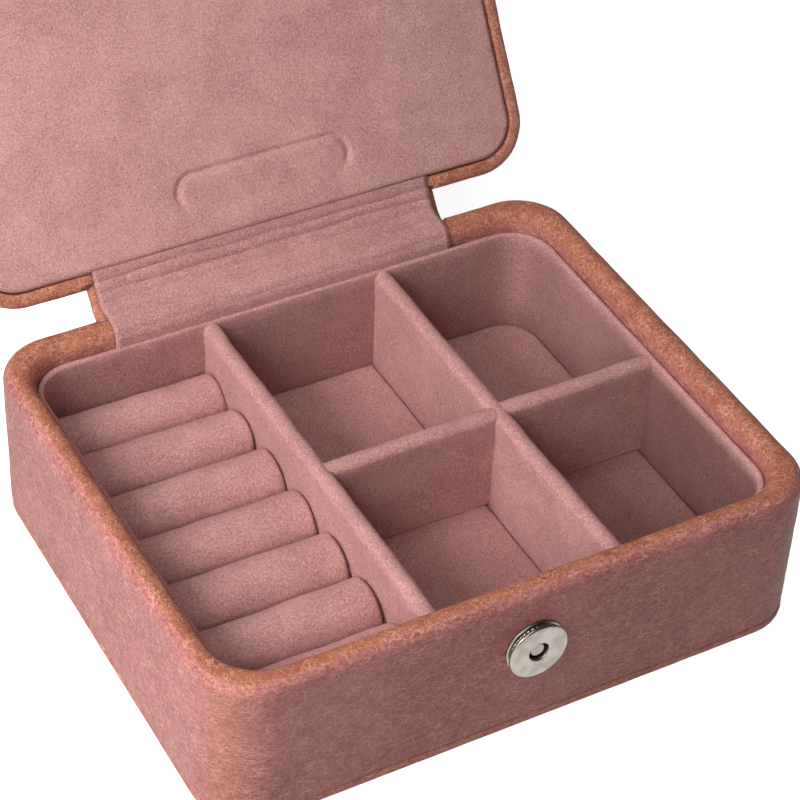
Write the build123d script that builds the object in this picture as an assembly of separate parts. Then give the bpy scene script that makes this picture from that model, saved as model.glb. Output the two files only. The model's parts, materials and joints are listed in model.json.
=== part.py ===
from build123d import *
import math
import os

# A leather jewellery case: a lined base with ring rolls and four compartments, a padded lid on a
# leather and suede spine, and a closing tab with a magnetic snap.
# Millimetres, +Z up. The origin is the centre of the base's underside. X runs along the front,
# +Y to the back, where the spine is. The case is modelled open, with its lid leaning back.

# ---- driving dimensions ----
CASE_WIDTH = 145.0          # X, over the leather
CASE_DEPTH = 121.0          # Y, over the leather
CASE_CORNER = 13.0          # plan radius of the four corners
BASE_HEIGHT = 39.5          # underside to the crest of the rim
LEATHER = 1.2               # cover leather
SUEDE = 0.7                 # lining suede
GLUE_GAP = 0.25             # dark line left round a fitted pad

PLATE_THICK = 2.2           # leather-wrapped bottom plate
PLATE_EDGE = 0.9            # rounding of its edge
SEAM_ROUND = 0.5            # rounding of the cover's foot, above the plate
RIM_WIDTH = 6.2             # leather-wrapped wall, measured across its top
RIM_OUTER_ROUND = 2.4
RIM_INNER_ROUND = 3.4
RIM_BEAD_HEIGHT = 6.5       # foam bead under the rim's leather, above the wall board
TURN_IN_DEPTH = 8.0         # how far the leather turns down inside the wall

TRAY_CORNER = 10.5          # plan radius outside the tray
TRAY_WALL = 1.5             # lined tray wall
TRAY_LIP = 34.6             # top of the tray's lip
TRAY_BOARD = 0.8            # card inside the lined tray wall
TRAY_FLOOR_BOARD = 1.5
TRAY_GAP = 0.1              # tray to wall, each side
TRAY_LIP_ROUND = 0.675

DIVIDER_THICK = 3.5
DIVIDER_TOP = 34.3
DIVIDER_CORE = 2.1          # board inside a divider
DIVIDER_ROUND = 1.225       # rounding of a divider's top
RING_DIVIDER_X = -20.1      # centre plane of the full divider beside the ring rolls
CENTRE_DIVIDER_X = 24.75    # centre plane of the full divider between the compartments
CROSS_LEFT_Y = -2.3         # centre planes of the two short dividers
CROSS_RIGHT_Y = -1.6
SLOT_GAP = 0.1              # clearance of a fitted divider at its ends and sides

FLOOR_TOP = 7.5             # suede floor of a compartment
FLOOR_CARD = 1.2
FLOOR_CARD_INSET = 1.0      # card's edge to the tray's lined wall
FLOOR_SPLIT = 0.05          # half the joint between the two pads under a short divider

ROLL_COUNT = 7
ROLL_PITCH = 15.3
ROLL_GAP = 0.3              # between neighbours
ROLL_TOP = 24.5
ROLL_BED_TOP = 9.0
ROLL_END_ROUND = 0.6
ROLL_FLAT = 0.05            # half the flat left where two rolls face each other

SNAP_HEIGHT = 24.0          # snap centre above the underside
SNAP_DIAMETER = 14.0
SNAP_PROUD = 2.6            # socket face in front of the leather
SNAP_FLANGE = 0.9
SNAP_EDGE = 0.54            # rounding of the flange's edge
SNAP_BARREL = 12.4
SNAP_HOLE = 4.6
SNAP_RECESS = 2.2           # depth of the hole in the face
SNAP_METAL = 0.5            # metal around the magnet
RIVET_DIAMETER = 2.6
RIVET_BOSS = 0.5            # how far the rivet's head stands up in the hole
WASHER_DIAMETER = 12.0
WASHER_THICK = 0.6

LID_GAP = 0.9               # base rim to lid rim when closed
LID_HEIGHT = 16.5
LID_TOP_ROUND = 3.0
LID_RIM_ROUND = 1.1
LID_RIM_WIDTH = 3.4
LID_WALL_BOARD = 1.1
LID_TOP_BOARD = 2.0
LID_TURN_IN = 9.0
PAD_PROUD = 0.5             # lid pad beyond the lid's rim
PAD_THICK = 4.0
PAD_EDGE = 1.2
PAD_FOAM = 1.8
PAD_FOAM_EDGE = 0.84
LID_OPEN_ANGLE = 122.0      # closed to the pose modelled here
HINGE_Y = 63.7              # line that the spine bends about
HINGE_Z = 40.9

SPINE_HALF = 45.0           # half width of the outer leather
SPINE_LINING_HALF = 43.4    # half width of the suede lining
SPINE_THICK = 1.0           # outer leather of the spine
SPINE_LINING_THICK = 0.9
SPINE_FOOT = 12.0           # lowest edge of the spine on the back wall
SPINE_SLOT_HALF = 45.3      # notch in both leather covers
SPINE_LID_REACH = 10.0      # how far it runs up the lid's back wall
SPINE_CLEAR = 0.5           # left open past the spine's two ends
SPINE_LEATHER_LEAVES = 3.3  # where the outer leather leaves the back wall, below the rim
SPINE_LEATHER_BEND = [      # its way over the gap: out from the back wall, up from the rim
    (0.7, -1.9), (2.5, -0.6), (4.4, 1.7),
]
SPINE_LEATHER_MEETS = 2.2   # where it meets the lid's back wall, above the lid's rim
SPINE_LEATHER_ROUND = 0.6   # rounding of its bends
SPINE_LINING_INSET = 1.7    # lining's fixed part ends this far inside the back wall's face
SPINE_LINING_BEND = [       # its way over the gap: out from the back wall, up from the rim
    (-1.9, -0.75), (0.2, -0.9), (1.5, 0.1), (3.5, 2.4),
]
SPINE_LINING_ON_LID = 0.55  # middle of the lining above the lid's rim
SPINE_LINING_MEETS = 1.0    # where it reaches the lid's rim, inside the lid's back face
SPINE_LINING_TUCK = 3.2     # where it ends under the pad, inside the lid's back face
SPINE_LINING_ROUND = 0.5

TAB_HALF = 15.0
TAB_LEATHER = 1.3
TAB_LINING = 0.9
TAB_EDGE = 1.0              # outer leather shown round the lining
TAB_BOTTOM = 12.0           # lowest edge when fastened
TAB_ANCHOR_TOP = 53.0
TAB_STAND_OFF = 4.2         # inner face in front of the base when fastened
TAB_REST_ANGLE = 12.0       # springs this far out when not fastened
TAB_THICK = TAB_LEATHER + TAB_LINING
TAB_PIVOT_UP = 1.2          # bending line above the lid's rim
TAB_LEAVES = (0.3, 3.0)     # out and down from the bending line, where the bend starts
TAB_FLAT_ABOVE = 8.5        # flat part starts this far above the snap's centre
TAB_BEND_ROUND = 5.0
TAB_END_ROUND = 12.0        # plan rounding of the free end
TAB_LINING_DROP = 3.0       # lining starts this far below the bending line
TAB_ANCHOR_GAP = 0.5        # free part to fixed part
TAB_ANCHOR_ROUND = 3.0
STUD_DISC = 13.4
STUD_DIAMETER = 3.8
STUD_LENGTH = 1.9
STUD_EDGE = 0.5             # rounding of the stud's end
STUD_WASHER = 10.72
STUD_LAP = 0.1              # how far joined metal parts run into each other
SNAP_AIR = 0.2              # socket face to stud disc when fastened

HALF_WIDTH = CASE_WIDTH / 2
HALF_DEPTH = CASE_DEPTH / 2
TRAY_HALF_X = HALF_WIDTH - RIM_WIDTH - TRAY_GAP
TRAY_HALF_Y = HALF_DEPTH - RIM_WIDTH - TRAY_GAP
ROOM_HALF_X = TRAY_HALF_X - TRAY_WALL
ROOM_HALF_Y = TRAY_HALF_Y - TRAY_WALL
ROOM_CORNER = TRAY_CORNER - TRAY_WALL
TRAY_FLOOR = PLATE_THICK + TRAY_FLOOR_BOARD
LID_RIM_Z = BASE_HEIGHT + LID_GAP
LID_TOP_Z = LID_RIM_Z + LID_HEIGHT
PAD_INSET = LID_RIM_WIDTH + GLUE_GAP
PAD_FACE_Z = LID_RIM_Z - PAD_PROUD
CUT = 1.0                   # how far a cutting solid runs past what it cuts


# ---- shared shapes ----
def block(half_x, half_y, radius, bottom, top):
    """An upright block with rounded corners in plan."""
    plan = RectangleRounded(2 * half_x, 2 * half_y, radius)
    return Pos(0, 0, bottom) * extrude(plan, top - bottom)


def inset_block(inset, bottom, top):
    """A block whose sides lie that far inside the case's leather."""
    return block(HALF_WIDTH - inset, HALF_DEPTH - inset, CASE_CORNER - inset, bottom, top)


def slab(x0, x1, y0, y1, z0, z1):
    """A plain box between two corners."""
    return Pos((x0 + x1) / 2, (y0 + y1) / 2, (z0 + z1) / 2) * Box(x1 - x0, y1 - y0, z1 - z0)


def across(section, half_width):
    """A section drawn in Y and Z, run along X to both sides."""
    return extrude(Plane.YZ * section, half_width, both=True)


def strip(points, radius, thickness):
    """The section of a bent strip: a rounded polyline in Y and Z with a thickness."""
    return trace(FilletPolyline(points, radius=radius), line_width=thickness)


def front_disc(radius, y_front, y_back, z=SNAP_HEIGHT):
    """A disc that faces the front."""
    middle = (y_front + y_back) / 2
    return Pos(0, middle, z) * Rot(90, 0, 0) * Cylinder(radius, y_back - y_front)


def top_outer(solid):
    """The outer edges of a solid's highest face."""
    return solid.faces().sort_by(Axis.Z)[-1].outer_wire().edges()


def top_inner(solid):
    """The inner edges of a solid's highest face."""
    return solid.faces().sort_by(Axis.Z)[-1].inner_wires()[0].edges()


def bottom_outer(solid):
    """The outer edges of a solid's lowest face."""
    return solid.faces().sort_by(Axis.Z)[0].outer_wire().edges()


# ---- base: plate, walls and rim ----
def bottom_plate():
    """The board and its leather, which closes the base from below."""
    leather = inset_block(0, 0, PLATE_THICK)
    leather = fillet(bottom_outer(leather) + top_outer(leather), PLATE_EDGE)
    board = inset_block(LEATHER, LEATHER / 2, PLATE_THICK)
    return leather - board, board


def rim_ring(depth):
    """The wall with its rounded rim, with that much taken off its whole surface."""
    inner_x = TRAY_HALF_X + TRAY_GAP + depth
    inner_y = TRAY_HALF_Y + TRAY_GAP + depth
    top = BASE_HEIGHT - depth
    outer = inset_block(depth, PLATE_THICK, top)
    hole = block(inner_x, inner_y, TRAY_CORNER + depth, PLATE_THICK - CUT, top + CUT)
    ring = outer - hole
    ring = fillet(top_outer(ring), RIM_OUTER_ROUND - depth)
    return fillet(top_inner(ring), RIM_INNER_ROUND - depth)


def spine_notch():
    """The part of the back wall's leather that the spine takes the place of."""
    return slab(-SPINE_SLOT_HALF, SPINE_SLOT_HALF, TRAY_HALF_Y - CUT, HALF_DEPTH + CUT,
                SPINE_FOOT - SPINE_CLEAR, BASE_HEIGHT + CUT)


def base_wall():
    """The leather cover, the wall board and the foam bead that rounds the rim."""
    core = rim_ring(LEATHER)
    bead_bottom = BASE_HEIGHT - RIM_BEAD_HEIGHT
    board = core & inset_block(0, PLATE_THICK, bead_bottom)
    bead = core & inset_block(0, bead_bottom, BASE_HEIGHT)
    outside = rim_ring(0)
    outside = fillet(bottom_outer(outside), SEAM_ROUND)
    turn_in_end = BASE_HEIGHT - TURN_IN_DEPTH
    below_turn_in = inset_block(LEATHER, PLATE_THICK - CUT, turn_in_end)
    cover = outside - core - below_turn_in - spine_notch()
    return cover, board, bead


# ---- base: tray, dividers and floors ----
def tray():
    """The lined tray that drops into the wall: a card frame, and suede over its inside and lip."""
    lined = block(TRAY_HALF_X, TRAY_HALF_Y, TRAY_CORNER, PLATE_THICK, TRAY_LIP)
    lined -= block(ROOM_HALF_X, ROOM_HALF_Y, ROOM_CORNER, TRAY_FLOOR, TRAY_LIP + CUT)
    lined = fillet(top_outer(lined) + top_inner(lined), TRAY_LIP_ROUND)
    card_inset = TRAY_WALL - TRAY_BOARD
    card = block(TRAY_HALF_X, TRAY_HALF_Y, TRAY_CORNER, PLATE_THICK, TRAY_LIP - 2 * SUEDE)
    card -= block(ROOM_HALF_X + card_inset, ROOM_HALF_Y + card_inset,
                  ROOM_CORNER + card_inset, TRAY_FLOOR - SUEDE, TRAY_LIP)
    return lined - card, card


def room_width(x0, x1, bottom, top):
    """The tray's room between two planes of X."""
    room = block(ROOM_HALF_X - SLOT_GAP, ROOM_HALF_Y - SLOT_GAP, ROOM_CORNER, bottom, top)
    return room & slab(x0, x1, -CASE_DEPTH, CASE_DEPTH, bottom, top)


def long_divider(x):
    """A divider that runs from the front to the back of the tray, and its board."""
    half = DIVIDER_THICK / 2
    length = ROOM_HALF_Y - SLOT_GAP
    cover = slab(x - half, x + half, -length, length, TRAY_FLOOR, DIVIDER_TOP)
    cover = fillet(cover.faces().sort_by(Axis.Z)[-1].edges().filter_by(Axis.Y), DIVIDER_ROUND)
    core = slab(x - DIVIDER_CORE / 2, x + DIVIDER_CORE / 2, -length + SUEDE, length - SUEDE,
                TRAY_FLOOR, DIVIDER_TOP - SUEDE)
    return cover - core, core


def cross_divider(x0, x1, y):
    """A short divider between two planes of X, and its board."""
    half = DIVIDER_THICK / 2
    cover = slab(x0, x1, y - half, y + half, FLOOR_TOP, DIVIDER_TOP)
    cover = fillet(cover.faces().sort_by(Axis.Z)[-1].edges().filter_by(Axis.X), DIVIDER_ROUND)
    core = slab(x0 + SUEDE, x1 - SUEDE, y - DIVIDER_CORE / 2, y + DIVIDER_CORE / 2,
                FLOOR_TOP + SUEDE, DIVIDER_TOP - SUEDE)
    return cover - core, core


def floor_pad(x0, x1, y0, y1):
    """A suede-covered floor card that fits its compartment, and the card."""
    suede = room_width(x0, x1, TRAY_FLOOR, FLOOR_TOP)
    suede &= slab(x0, x1, y0, y1, TRAY_FLOOR, FLOOR_TOP)
    card_top = TRAY_FLOOR + FLOOR_CARD
    card = suede & slab(x0 + SUEDE, x1 - SUEDE, y0 + SUEDE, y1 - SUEDE, TRAY_FLOOR, card_top)
    card &= block(ROOM_HALF_X - FLOOR_CARD_INSET, ROOM_HALF_Y - FLOOR_CARD_INSET,
                  ROOM_CORNER - FLOOR_CARD_INSET, TRAY_FLOOR, card_top)
    return suede - card, card


# ---- base: ring rolls ----
def roll_ends():
    """The two planes of X that the rolls run between."""
    return -ROOM_HALF_X + 2 * SLOT_GAP, RING_DIVIDER_X - DIVIDER_THICK / 2 - 2 * SLOT_GAP


def roll_room(inset):
    """The tray's room with its rounded corners, that far inside the lining."""
    return block(ROOM_HALF_X - inset, ROOM_HALF_Y - inset, ROOM_CORNER - inset,
                 TRAY_FLOOR, TRAY_LIP)


def ring_roll(y0, y1):
    """One foam roll in suede, lying along X: its cover, and its core."""
    x0, x1 = roll_ends()
    width = y1 - y0
    height = ROLL_TOP - ROLL_BED_TOP
    place = Pos(x0, (y0 + y1) / 2, (ROLL_TOP + ROLL_BED_TOP) / 2)
    round_side = min(width, height) / 2 - ROLL_FLAT
    section = Plane.YZ * RectangleRounded(width, height, round_side)
    roll = place * extrude(section, x1 - x0)
    roll = fillet(roll.faces().filter_by(Axis.X).edges(), ROLL_END_ROUND)
    inner = Plane.YZ * RectangleRounded(width - 2 * SUEDE, height - 2 * SUEDE,
                                        round_side - SUEDE)
    core = place * Pos(SUEDE, 0, 0) * extrude(inner, x1 - x0 - 2 * SUEDE)
    core &= roll_room(SLOT_GAP + SUEDE)
    roll &= roll_room(SLOT_GAP)
    return roll - core, core


def roll_spans():
    """Front and back planes of each roll, from the back: full rolls from the front wall on,
    and a narrower one in what is left at the back."""
    front = -ROOM_HALF_Y + SLOT_GAP
    spans = []
    for i in range(ROLL_COUNT - 1):
        start = front + i * ROLL_PITCH
        spans.append((start, start + ROLL_PITCH - ROLL_GAP))
    spans.append((front + (ROLL_COUNT - 1) * ROLL_PITCH, ROOM_HALF_Y - SLOT_GAP))
    return spans[::-1]


def roll_bed():
    """The foam block that the rolls are glued to."""
    x0, x1 = roll_ends()
    return room_width(x0, x1, TRAY_FLOOR, ROLL_BED_TOP)


# ---- base: snap socket ----
def snap_socket():
    """The metal cap, the ring magnet inside it, the rivet through the wall and its washer."""
    front = -HALF_DEPTH - SNAP_PROUD
    seat = -HALF_DEPTH
    wall_inside = -HALF_DEPTH + RIM_WIDTH - LEATHER
    cap = front_disc(SNAP_DIAMETER / 2, front, front + SNAP_FLANGE)
    cap = fillet(cap.faces().sort_by(Axis.Y)[0].edges(), SNAP_EDGE)
    cap += front_disc(SNAP_BARREL / 2, front + SNAP_FLANGE, seat)
    magnet = front_disc(SNAP_BARREL / 2 - SNAP_METAL, front + SNAP_FLANGE, seat)
    magnet -= front_disc(SNAP_HOLE / 2 + SNAP_METAL, front, seat + CUT)
    rivet = front_disc(RIVET_DIAMETER / 2, front + SNAP_RECESS - RIVET_BOSS, wall_inside)
    washer = front_disc(WASHER_DIAMETER / 2, wall_inside, wall_inside + WASHER_THICK)
    cap = cap - magnet - rivet - front_disc(SNAP_HOLE / 2, front - CUT, front + SNAP_RECESS)
    return cap, magnet, rivet, washer


# ---- spine ----
def opened(shape):
    """A shape drawn on the closed lid, swung back to the pose modelled here."""
    hinge = Pos(0, HINGE_Y, HINGE_Z)
    return hinge * Rot(-LID_OPEN_ANGLE, 0, 0) * hinge.inverse() * shape


def opened_point(y, z):
    """Where a point of the closed lid's section lies once it is opened."""
    angle = math.radians(-LID_OPEN_ANGLE)
    dy = y - HINGE_Y
    dz = z - HINGE_Z
    return (HINGE_Y + dy * math.cos(angle) - dz * math.sin(angle),
            HINGE_Z + dy * math.sin(angle) + dz * math.cos(angle))


def over_gap(bend):
    """Points given from the back wall's face and the base's rim."""
    return [(HALF_DEPTH + out, BASE_HEIGHT + up) for out, up in bend]


def spine_leather():
    """The outer leather: up the back wall, across the gap and down the lid's back wall."""
    middle = HALF_DEPTH - LEATHER / 2
    points = [(middle, SPINE_FOOT), (middle, BASE_HEIGHT - SPINE_LEATHER_LEAVES)]
    points += over_gap(SPINE_LEATHER_BEND)
    points += [
        opened_point(middle, LID_RIM_Z + SPINE_LEATHER_MEETS),
        opened_point(middle, LID_RIM_Z + SPINE_LID_REACH),
    ]
    return across(strip(points, SPINE_LEATHER_ROUND, SPINE_THICK), SPINE_HALF)


def spine_lining():
    """The suede lining: over the base's rim, across the gap and onto the lid's rim."""
    rim_part = rim_ring(0) - rim_ring(LEATHER)
    rim_part &= slab(-SPINE_LINING_HALF, SPINE_LINING_HALF, TRAY_HALF_Y - CUT,
                     HALF_DEPTH - SPINE_LINING_INSET, BASE_HEIGHT - TURN_IN_DEPTH, BASE_HEIGHT)
    on_lid = LID_RIM_Z + SPINE_LINING_ON_LID
    points = over_gap(SPINE_LINING_BEND)
    points += [
        opened_point(HALF_DEPTH - SPINE_LINING_MEETS, on_lid),
        opened_point(HALF_DEPTH - SPINE_LINING_TUCK, on_lid),
    ]
    bent = strip(points, SPINE_LINING_ROUND, SPINE_LINING_THICK)
    return rim_part + across(bent, SPINE_LINING_HALF)


# ---- lid, drawn closed ----
def lid_shell():
    """The lid's leather cover, the board of its walls and the board of its top."""
    turn_in_top = LID_RIM_Z + LID_TURN_IN
    under_leather = LID_TOP_Z - LEATHER
    under_board = under_leather - LID_TOP_BOARD
    whole = inset_block(0, LID_RIM_Z, LID_TOP_Z)
    whole = fillet(top_outer(whole), LID_TOP_ROUND)
    whole = fillet(bottom_outer(whole), LID_RIM_ROUND)
    board_inset = LEATHER + LID_WALL_BOARD
    top_board = inset_block(LEATHER, under_board, under_leather)
    top_board = fillet(top_outer(top_board), LID_TOP_ROUND - LEATHER)
    wall_board = inset_block(LEATHER, LID_RIM_Z + LEATHER, under_board)
    wall_board -= inset_block(board_inset, LID_RIM_Z, LID_TOP_Z)
    cover = whole - top_board - wall_board
    cover -= inset_block(board_inset, turn_in_top, under_board)
    cover -= inset_block(LID_RIM_WIDTH, LID_RIM_Z - CUT, turn_in_top + CUT)
    cover -= slab(-SPINE_SLOT_HALF, SPINE_SLOT_HALF, HALF_DEPTH - LEATHER, HALF_DEPTH + CUT,
                  LID_RIM_Z - CUT, LID_RIM_Z + SPINE_LID_REACH + SPINE_CLEAR)
    cover -= slab(-SPINE_SLOT_HALF, SPINE_SLOT_HALF, HALF_DEPTH - LID_RIM_WIDTH - CUT,
                  HALF_DEPTH + CUT, LID_RIM_Z - CUT, LID_RIM_Z + LEATHER)
    return cover, wall_board, top_board


def lid_pad():
    """The suede pad that fills the lid: its cover, foam and board, and the block behind it."""
    back = PAD_FACE_Z + PAD_THICK
    cover = inset_block(PAD_INSET, PAD_FACE_Z, back)
    cover = fillet(bottom_outer(cover), PAD_EDGE)
    inside = PAD_INSET + SUEDE
    foam_top = PAD_FACE_Z + SUEDE + PAD_FOAM
    foam = inset_block(inside, PAD_FACE_Z + SUEDE, foam_top)
    foam = fillet(bottom_outer(foam), PAD_FOAM_EDGE)
    board = inset_block(inside, foam_top, back)
    filler = inset_block(PAD_INSET, back, LID_TOP_Z - LEATHER - LID_TOP_BOARD)
    return cover - foam - board, foam, board, filler


# ---- closing tab, drawn closed and fastened ----
def tab_pivot():
    """Y and Z of the line that the tab bends about, at the lid's front edge."""
    return -HALF_DEPTH - TAB_THICK / 2, LID_RIM_Z + TAB_PIVOT_UP


def tongue(solid):
    """The tab's free end cut to a round tongue."""
    height = TAB_ANCHOR_TOP - TAB_BOTTOM
    plan = RectangleRounded(2 * TAB_HALF, 2 * height, TAB_END_ROUND)
    cutter = Rot(90, 0, 0) * extrude(plan, HALF_DEPTH / 2, both=True)
    return solid & Pos(0, -HALF_DEPTH, TAB_BOTTOM + height) * cutter


def tab_line(shift):
    """The tab's middle line from its pivot down, moved that far towards the case."""
    pivot_y, pivot_z = tab_pivot()
    low_y = -HALF_DEPTH - TAB_STAND_OFF - TAB_THICK / 2
    points = [
        (pivot_y, pivot_z),
        (pivot_y - TAB_LEAVES[0], pivot_z - TAB_LEAVES[1]),
        (low_y, SNAP_HEIGHT + TAB_FLAT_ABOVE),
        (low_y, TAB_BOTTOM),
    ]
    return [(y + shift, z) for y, z in points]


def tab_parts():
    """The tab's outer leather and inner lining, which bend together below the lid's edge."""
    pivot_y, pivot_z = tab_pivot()
    knuckle = Pos(0, pivot_y, pivot_z) * Rot(0, 90, 0) * Cylinder(TAB_THICK / 2, 2 * TAB_HALF)
    bent = strip(tab_line(0), TAB_BEND_ROUND, TAB_THICK)
    whole = tongue(across(bent, TAB_HALF) + knuckle)
    shift = (TAB_THICK - TAB_LINING) / 2
    lining = across(strip(tab_line(shift), TAB_BEND_ROUND, TAB_LINING), TAB_HALF - TAB_EDGE)
    lining -= slab(-TAB_HALF, TAB_HALF, -CASE_DEPTH, CASE_DEPTH, TAB_BOTTOM - CUT,
                   TAB_BOTTOM + TAB_EDGE)
    lining -= slab(-TAB_HALF, TAB_HALF, -CASE_DEPTH, CASE_DEPTH, pivot_z - TAB_LINING_DROP,
                   pivot_z + CUT)
    lining = tongue(lining) & whole
    return whole - lining, lining


def tab_anchor():
    """The tab's upper end, glued to the lid's front wall."""
    anchor = slab(-TAB_HALF, TAB_HALF, -HALF_DEPTH - TAB_THICK, -HALF_DEPTH,
                  tab_pivot()[1] + TAB_THICK / 2 + TAB_ANCHOR_GAP, TAB_ANCHOR_TOP)
    corners = anchor.faces().sort_by(Axis.Z)[-1].edges().filter_by(Axis.Y)
    return fillet(corners, TAB_ANCHOR_ROUND)


def snap_stud():
    """The plate with its stud, and the washer and shank that clench it through the lining."""
    face = -HALF_DEPTH - SNAP_PROUD - SNAP_AIR
    back = -HALF_DEPTH - TAB_STAND_OFF
    behind = back - TAB_LINING
    plate = front_disc(STUD_DISC / 2, back, face)
    plate += front_disc(STUD_DIAMETER / 2, face - STUD_LAP, face + STUD_LENGTH)
    plate = fillet(plate.faces().sort_by(Axis.Y)[-1].edges(), STUD_EDGE)
    washer = front_disc(RIVET_DIAMETER / 2, behind - STUD_LAP, back)
    washer += front_disc(STUD_WASHER / 2, behind - WASHER_THICK, behind)
    return plate, washer


def released(shape):
    """A shape drawn on the fastened tab, sprung out to the tab's resting angle."""
    pivot_y, pivot_z = tab_pivot()
    pivot = Pos(0, pivot_y, pivot_z)
    return pivot * Rot(-TAB_REST_ANGLE, 0, 0) * pivot.inverse() * shape


# ---- assembly ----
def wall_nodes():
    """The base's outside: plate, wall, rim, spine and snap socket."""
    nodes = {}
    nodes["base_bottom_cover"], nodes["base_bottom_board"] = bottom_plate()
    cover, board, bead = base_wall()
    cap, magnet, rivet, washer = snap_socket()
    nodes["base_cover"] = cover - rivet
    nodes["base_wall_board"] = board - rivet
    nodes["base_rim_bead"] = bead
    nodes["spine_leather"] = spine_leather()
    nodes["spine_lining"] = spine_lining()
    nodes["snap_socket_cap"] = cap
    nodes["snap_socket_magnet"] = magnet
    nodes["snap_socket_rivet"] = rivet
    nodes["snap_socket_washer"] = washer
    return nodes


def divider_nodes():
    """The two full dividers and the two short ones between the compartments."""
    nodes = {}
    half = DIVIDER_THICK / 2 + SLOT_GAP
    right_wall = ROOM_HALF_X - SLOT_GAP
    nodes["ring_divider_cover"], nodes["ring_divider_board"] = long_divider(RING_DIVIDER_X)
    nodes["centre_divider_cover"], nodes["centre_divider_board"] = long_divider(CENTRE_DIVIDER_X)
    left = cross_divider(RING_DIVIDER_X + half, CENTRE_DIVIDER_X - half, CROSS_LEFT_Y)
    right = cross_divider(CENTRE_DIVIDER_X + half, right_wall, CROSS_RIGHT_Y)
    nodes["cross_divider_left_cover"], nodes["cross_divider_left_board"] = left
    nodes["cross_divider_right_cover"], nodes["cross_divider_right_board"] = right
    return nodes


def floor_nodes():
    """Two floor pads in each of the two rows of compartments, and their four cards."""
    nodes = {}
    cards = []
    half = DIVIDER_THICK / 2 + SLOT_GAP
    edge_x = ROOM_HALF_X - SLOT_GAP
    edge_y = ROOM_HALF_Y - SLOT_GAP
    rows = [
        ("left", RING_DIVIDER_X + half, CENTRE_DIVIDER_X - half, CROSS_LEFT_Y),
        ("right", CENTRE_DIVIDER_X + half, edge_x, CROSS_RIGHT_Y),
    ]
    for side, x0, x1, cross_y in rows:
        spans = [("back", cross_y + FLOOR_SPLIT, edge_y), ("front", -edge_y, cross_y - FLOOR_SPLIT)]
        for end, y0, y1 in spans:
            suede, card = floor_pad(x0, x1, y0, y1)
            nodes[f"floor_pad_{end}_{side}"] = suede
            cards.append(card)
    nodes["floor_cards"] = Compound(children=cards)
    return nodes


def roll_nodes():
    """The ring rolls, their cores and the bed that they are glued to."""
    nodes = {}
    cores = []
    for number, (y0, y1) in enumerate(roll_spans(), start=1):
        cover, core = ring_roll(y0, y1)
        nodes[f"ring_roll_{number}"] = cover
        cores.append(core)
    nodes["ring_roll_cores"] = Compound(children=cores)
    nodes["ring_roll_bed"] = roll_bed()
    return nodes


def lid_nodes():
    """The lid and the fixed end of its tab, opened."""
    nodes = {}
    nodes["lid_cover"], nodes["lid_wall_board"], nodes["lid_top_board"] = lid_shell()
    cover, foam, board, filler = lid_pad()
    nodes["lid_pad_cover"] = cover
    nodes["lid_pad_foam"] = foam
    nodes["lid_pad_board"] = board
    nodes["lid_filler"] = filler
    nodes["tab_anchor"] = tab_anchor()
    return {name: opened(shape) for name, shape in nodes.items()}


def tab_nodes():
    """The closing tab and its half of the snap, released and opened with the lid."""
    nodes = {}
    leather, lining = tab_parts()
    plate, washer = snap_stud()
    nodes["tab_leather"] = leather - washer
    nodes["tab_lining"] = lining - washer
    nodes["snap_stud_plate"] = plate
    nodes["snap_stud_washer"] = washer
    return {name: opened(released(shape)) for name, shape in nodes.items()}


def all_nodes():
    """Every piece of the case by its name."""
    nodes = wall_nodes()
    nodes["tray_lining"], nodes["tray_card"] = tray()
    nodes.update(divider_nodes())
    nodes.update(floor_nodes())
    nodes.update(roll_nodes())
    nodes.update(lid_nodes())
    nodes.update(tab_nodes())
    return nodes


os.makedirs("parts", exist_ok=True)
for name, shape in all_nodes().items():
    export_step(shape, f"parts/{name}.step")
pivot = tab_pivot()
print("lid hinge at y, z:", HINGE_Y, HINGE_Z)
print("tab pivot at y, z:", *[round(v, 3) for v in opened_point(*pivot)])
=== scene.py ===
import json
import math

import bmesh
import bpy
import numpy as np
from mathutils import Matrix, Quaternion, Vector, noise


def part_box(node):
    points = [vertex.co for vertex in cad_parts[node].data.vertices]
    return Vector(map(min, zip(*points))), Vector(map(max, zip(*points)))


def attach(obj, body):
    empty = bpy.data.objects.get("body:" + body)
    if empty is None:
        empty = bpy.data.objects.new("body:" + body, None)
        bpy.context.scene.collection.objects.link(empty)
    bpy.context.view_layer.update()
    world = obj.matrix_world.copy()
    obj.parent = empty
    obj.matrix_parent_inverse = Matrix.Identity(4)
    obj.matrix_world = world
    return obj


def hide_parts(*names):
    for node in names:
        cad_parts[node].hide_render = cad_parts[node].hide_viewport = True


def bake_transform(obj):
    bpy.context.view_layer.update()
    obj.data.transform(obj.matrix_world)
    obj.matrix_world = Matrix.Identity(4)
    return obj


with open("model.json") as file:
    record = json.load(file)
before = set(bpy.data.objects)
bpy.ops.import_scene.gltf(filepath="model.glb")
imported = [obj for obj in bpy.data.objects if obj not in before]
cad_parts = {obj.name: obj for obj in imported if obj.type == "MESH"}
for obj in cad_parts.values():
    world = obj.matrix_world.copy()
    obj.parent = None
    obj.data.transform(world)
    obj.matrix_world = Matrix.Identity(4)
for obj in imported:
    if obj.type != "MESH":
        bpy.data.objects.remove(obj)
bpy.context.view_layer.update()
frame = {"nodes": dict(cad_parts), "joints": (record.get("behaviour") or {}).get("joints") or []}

# A leather jewellery case, open, seen from its front left. Lengths are in metres, and MM is one
# millimetre. The lid is shaped closed and swung open, and its tab is shaped fastened.
MM = 0.001

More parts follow.
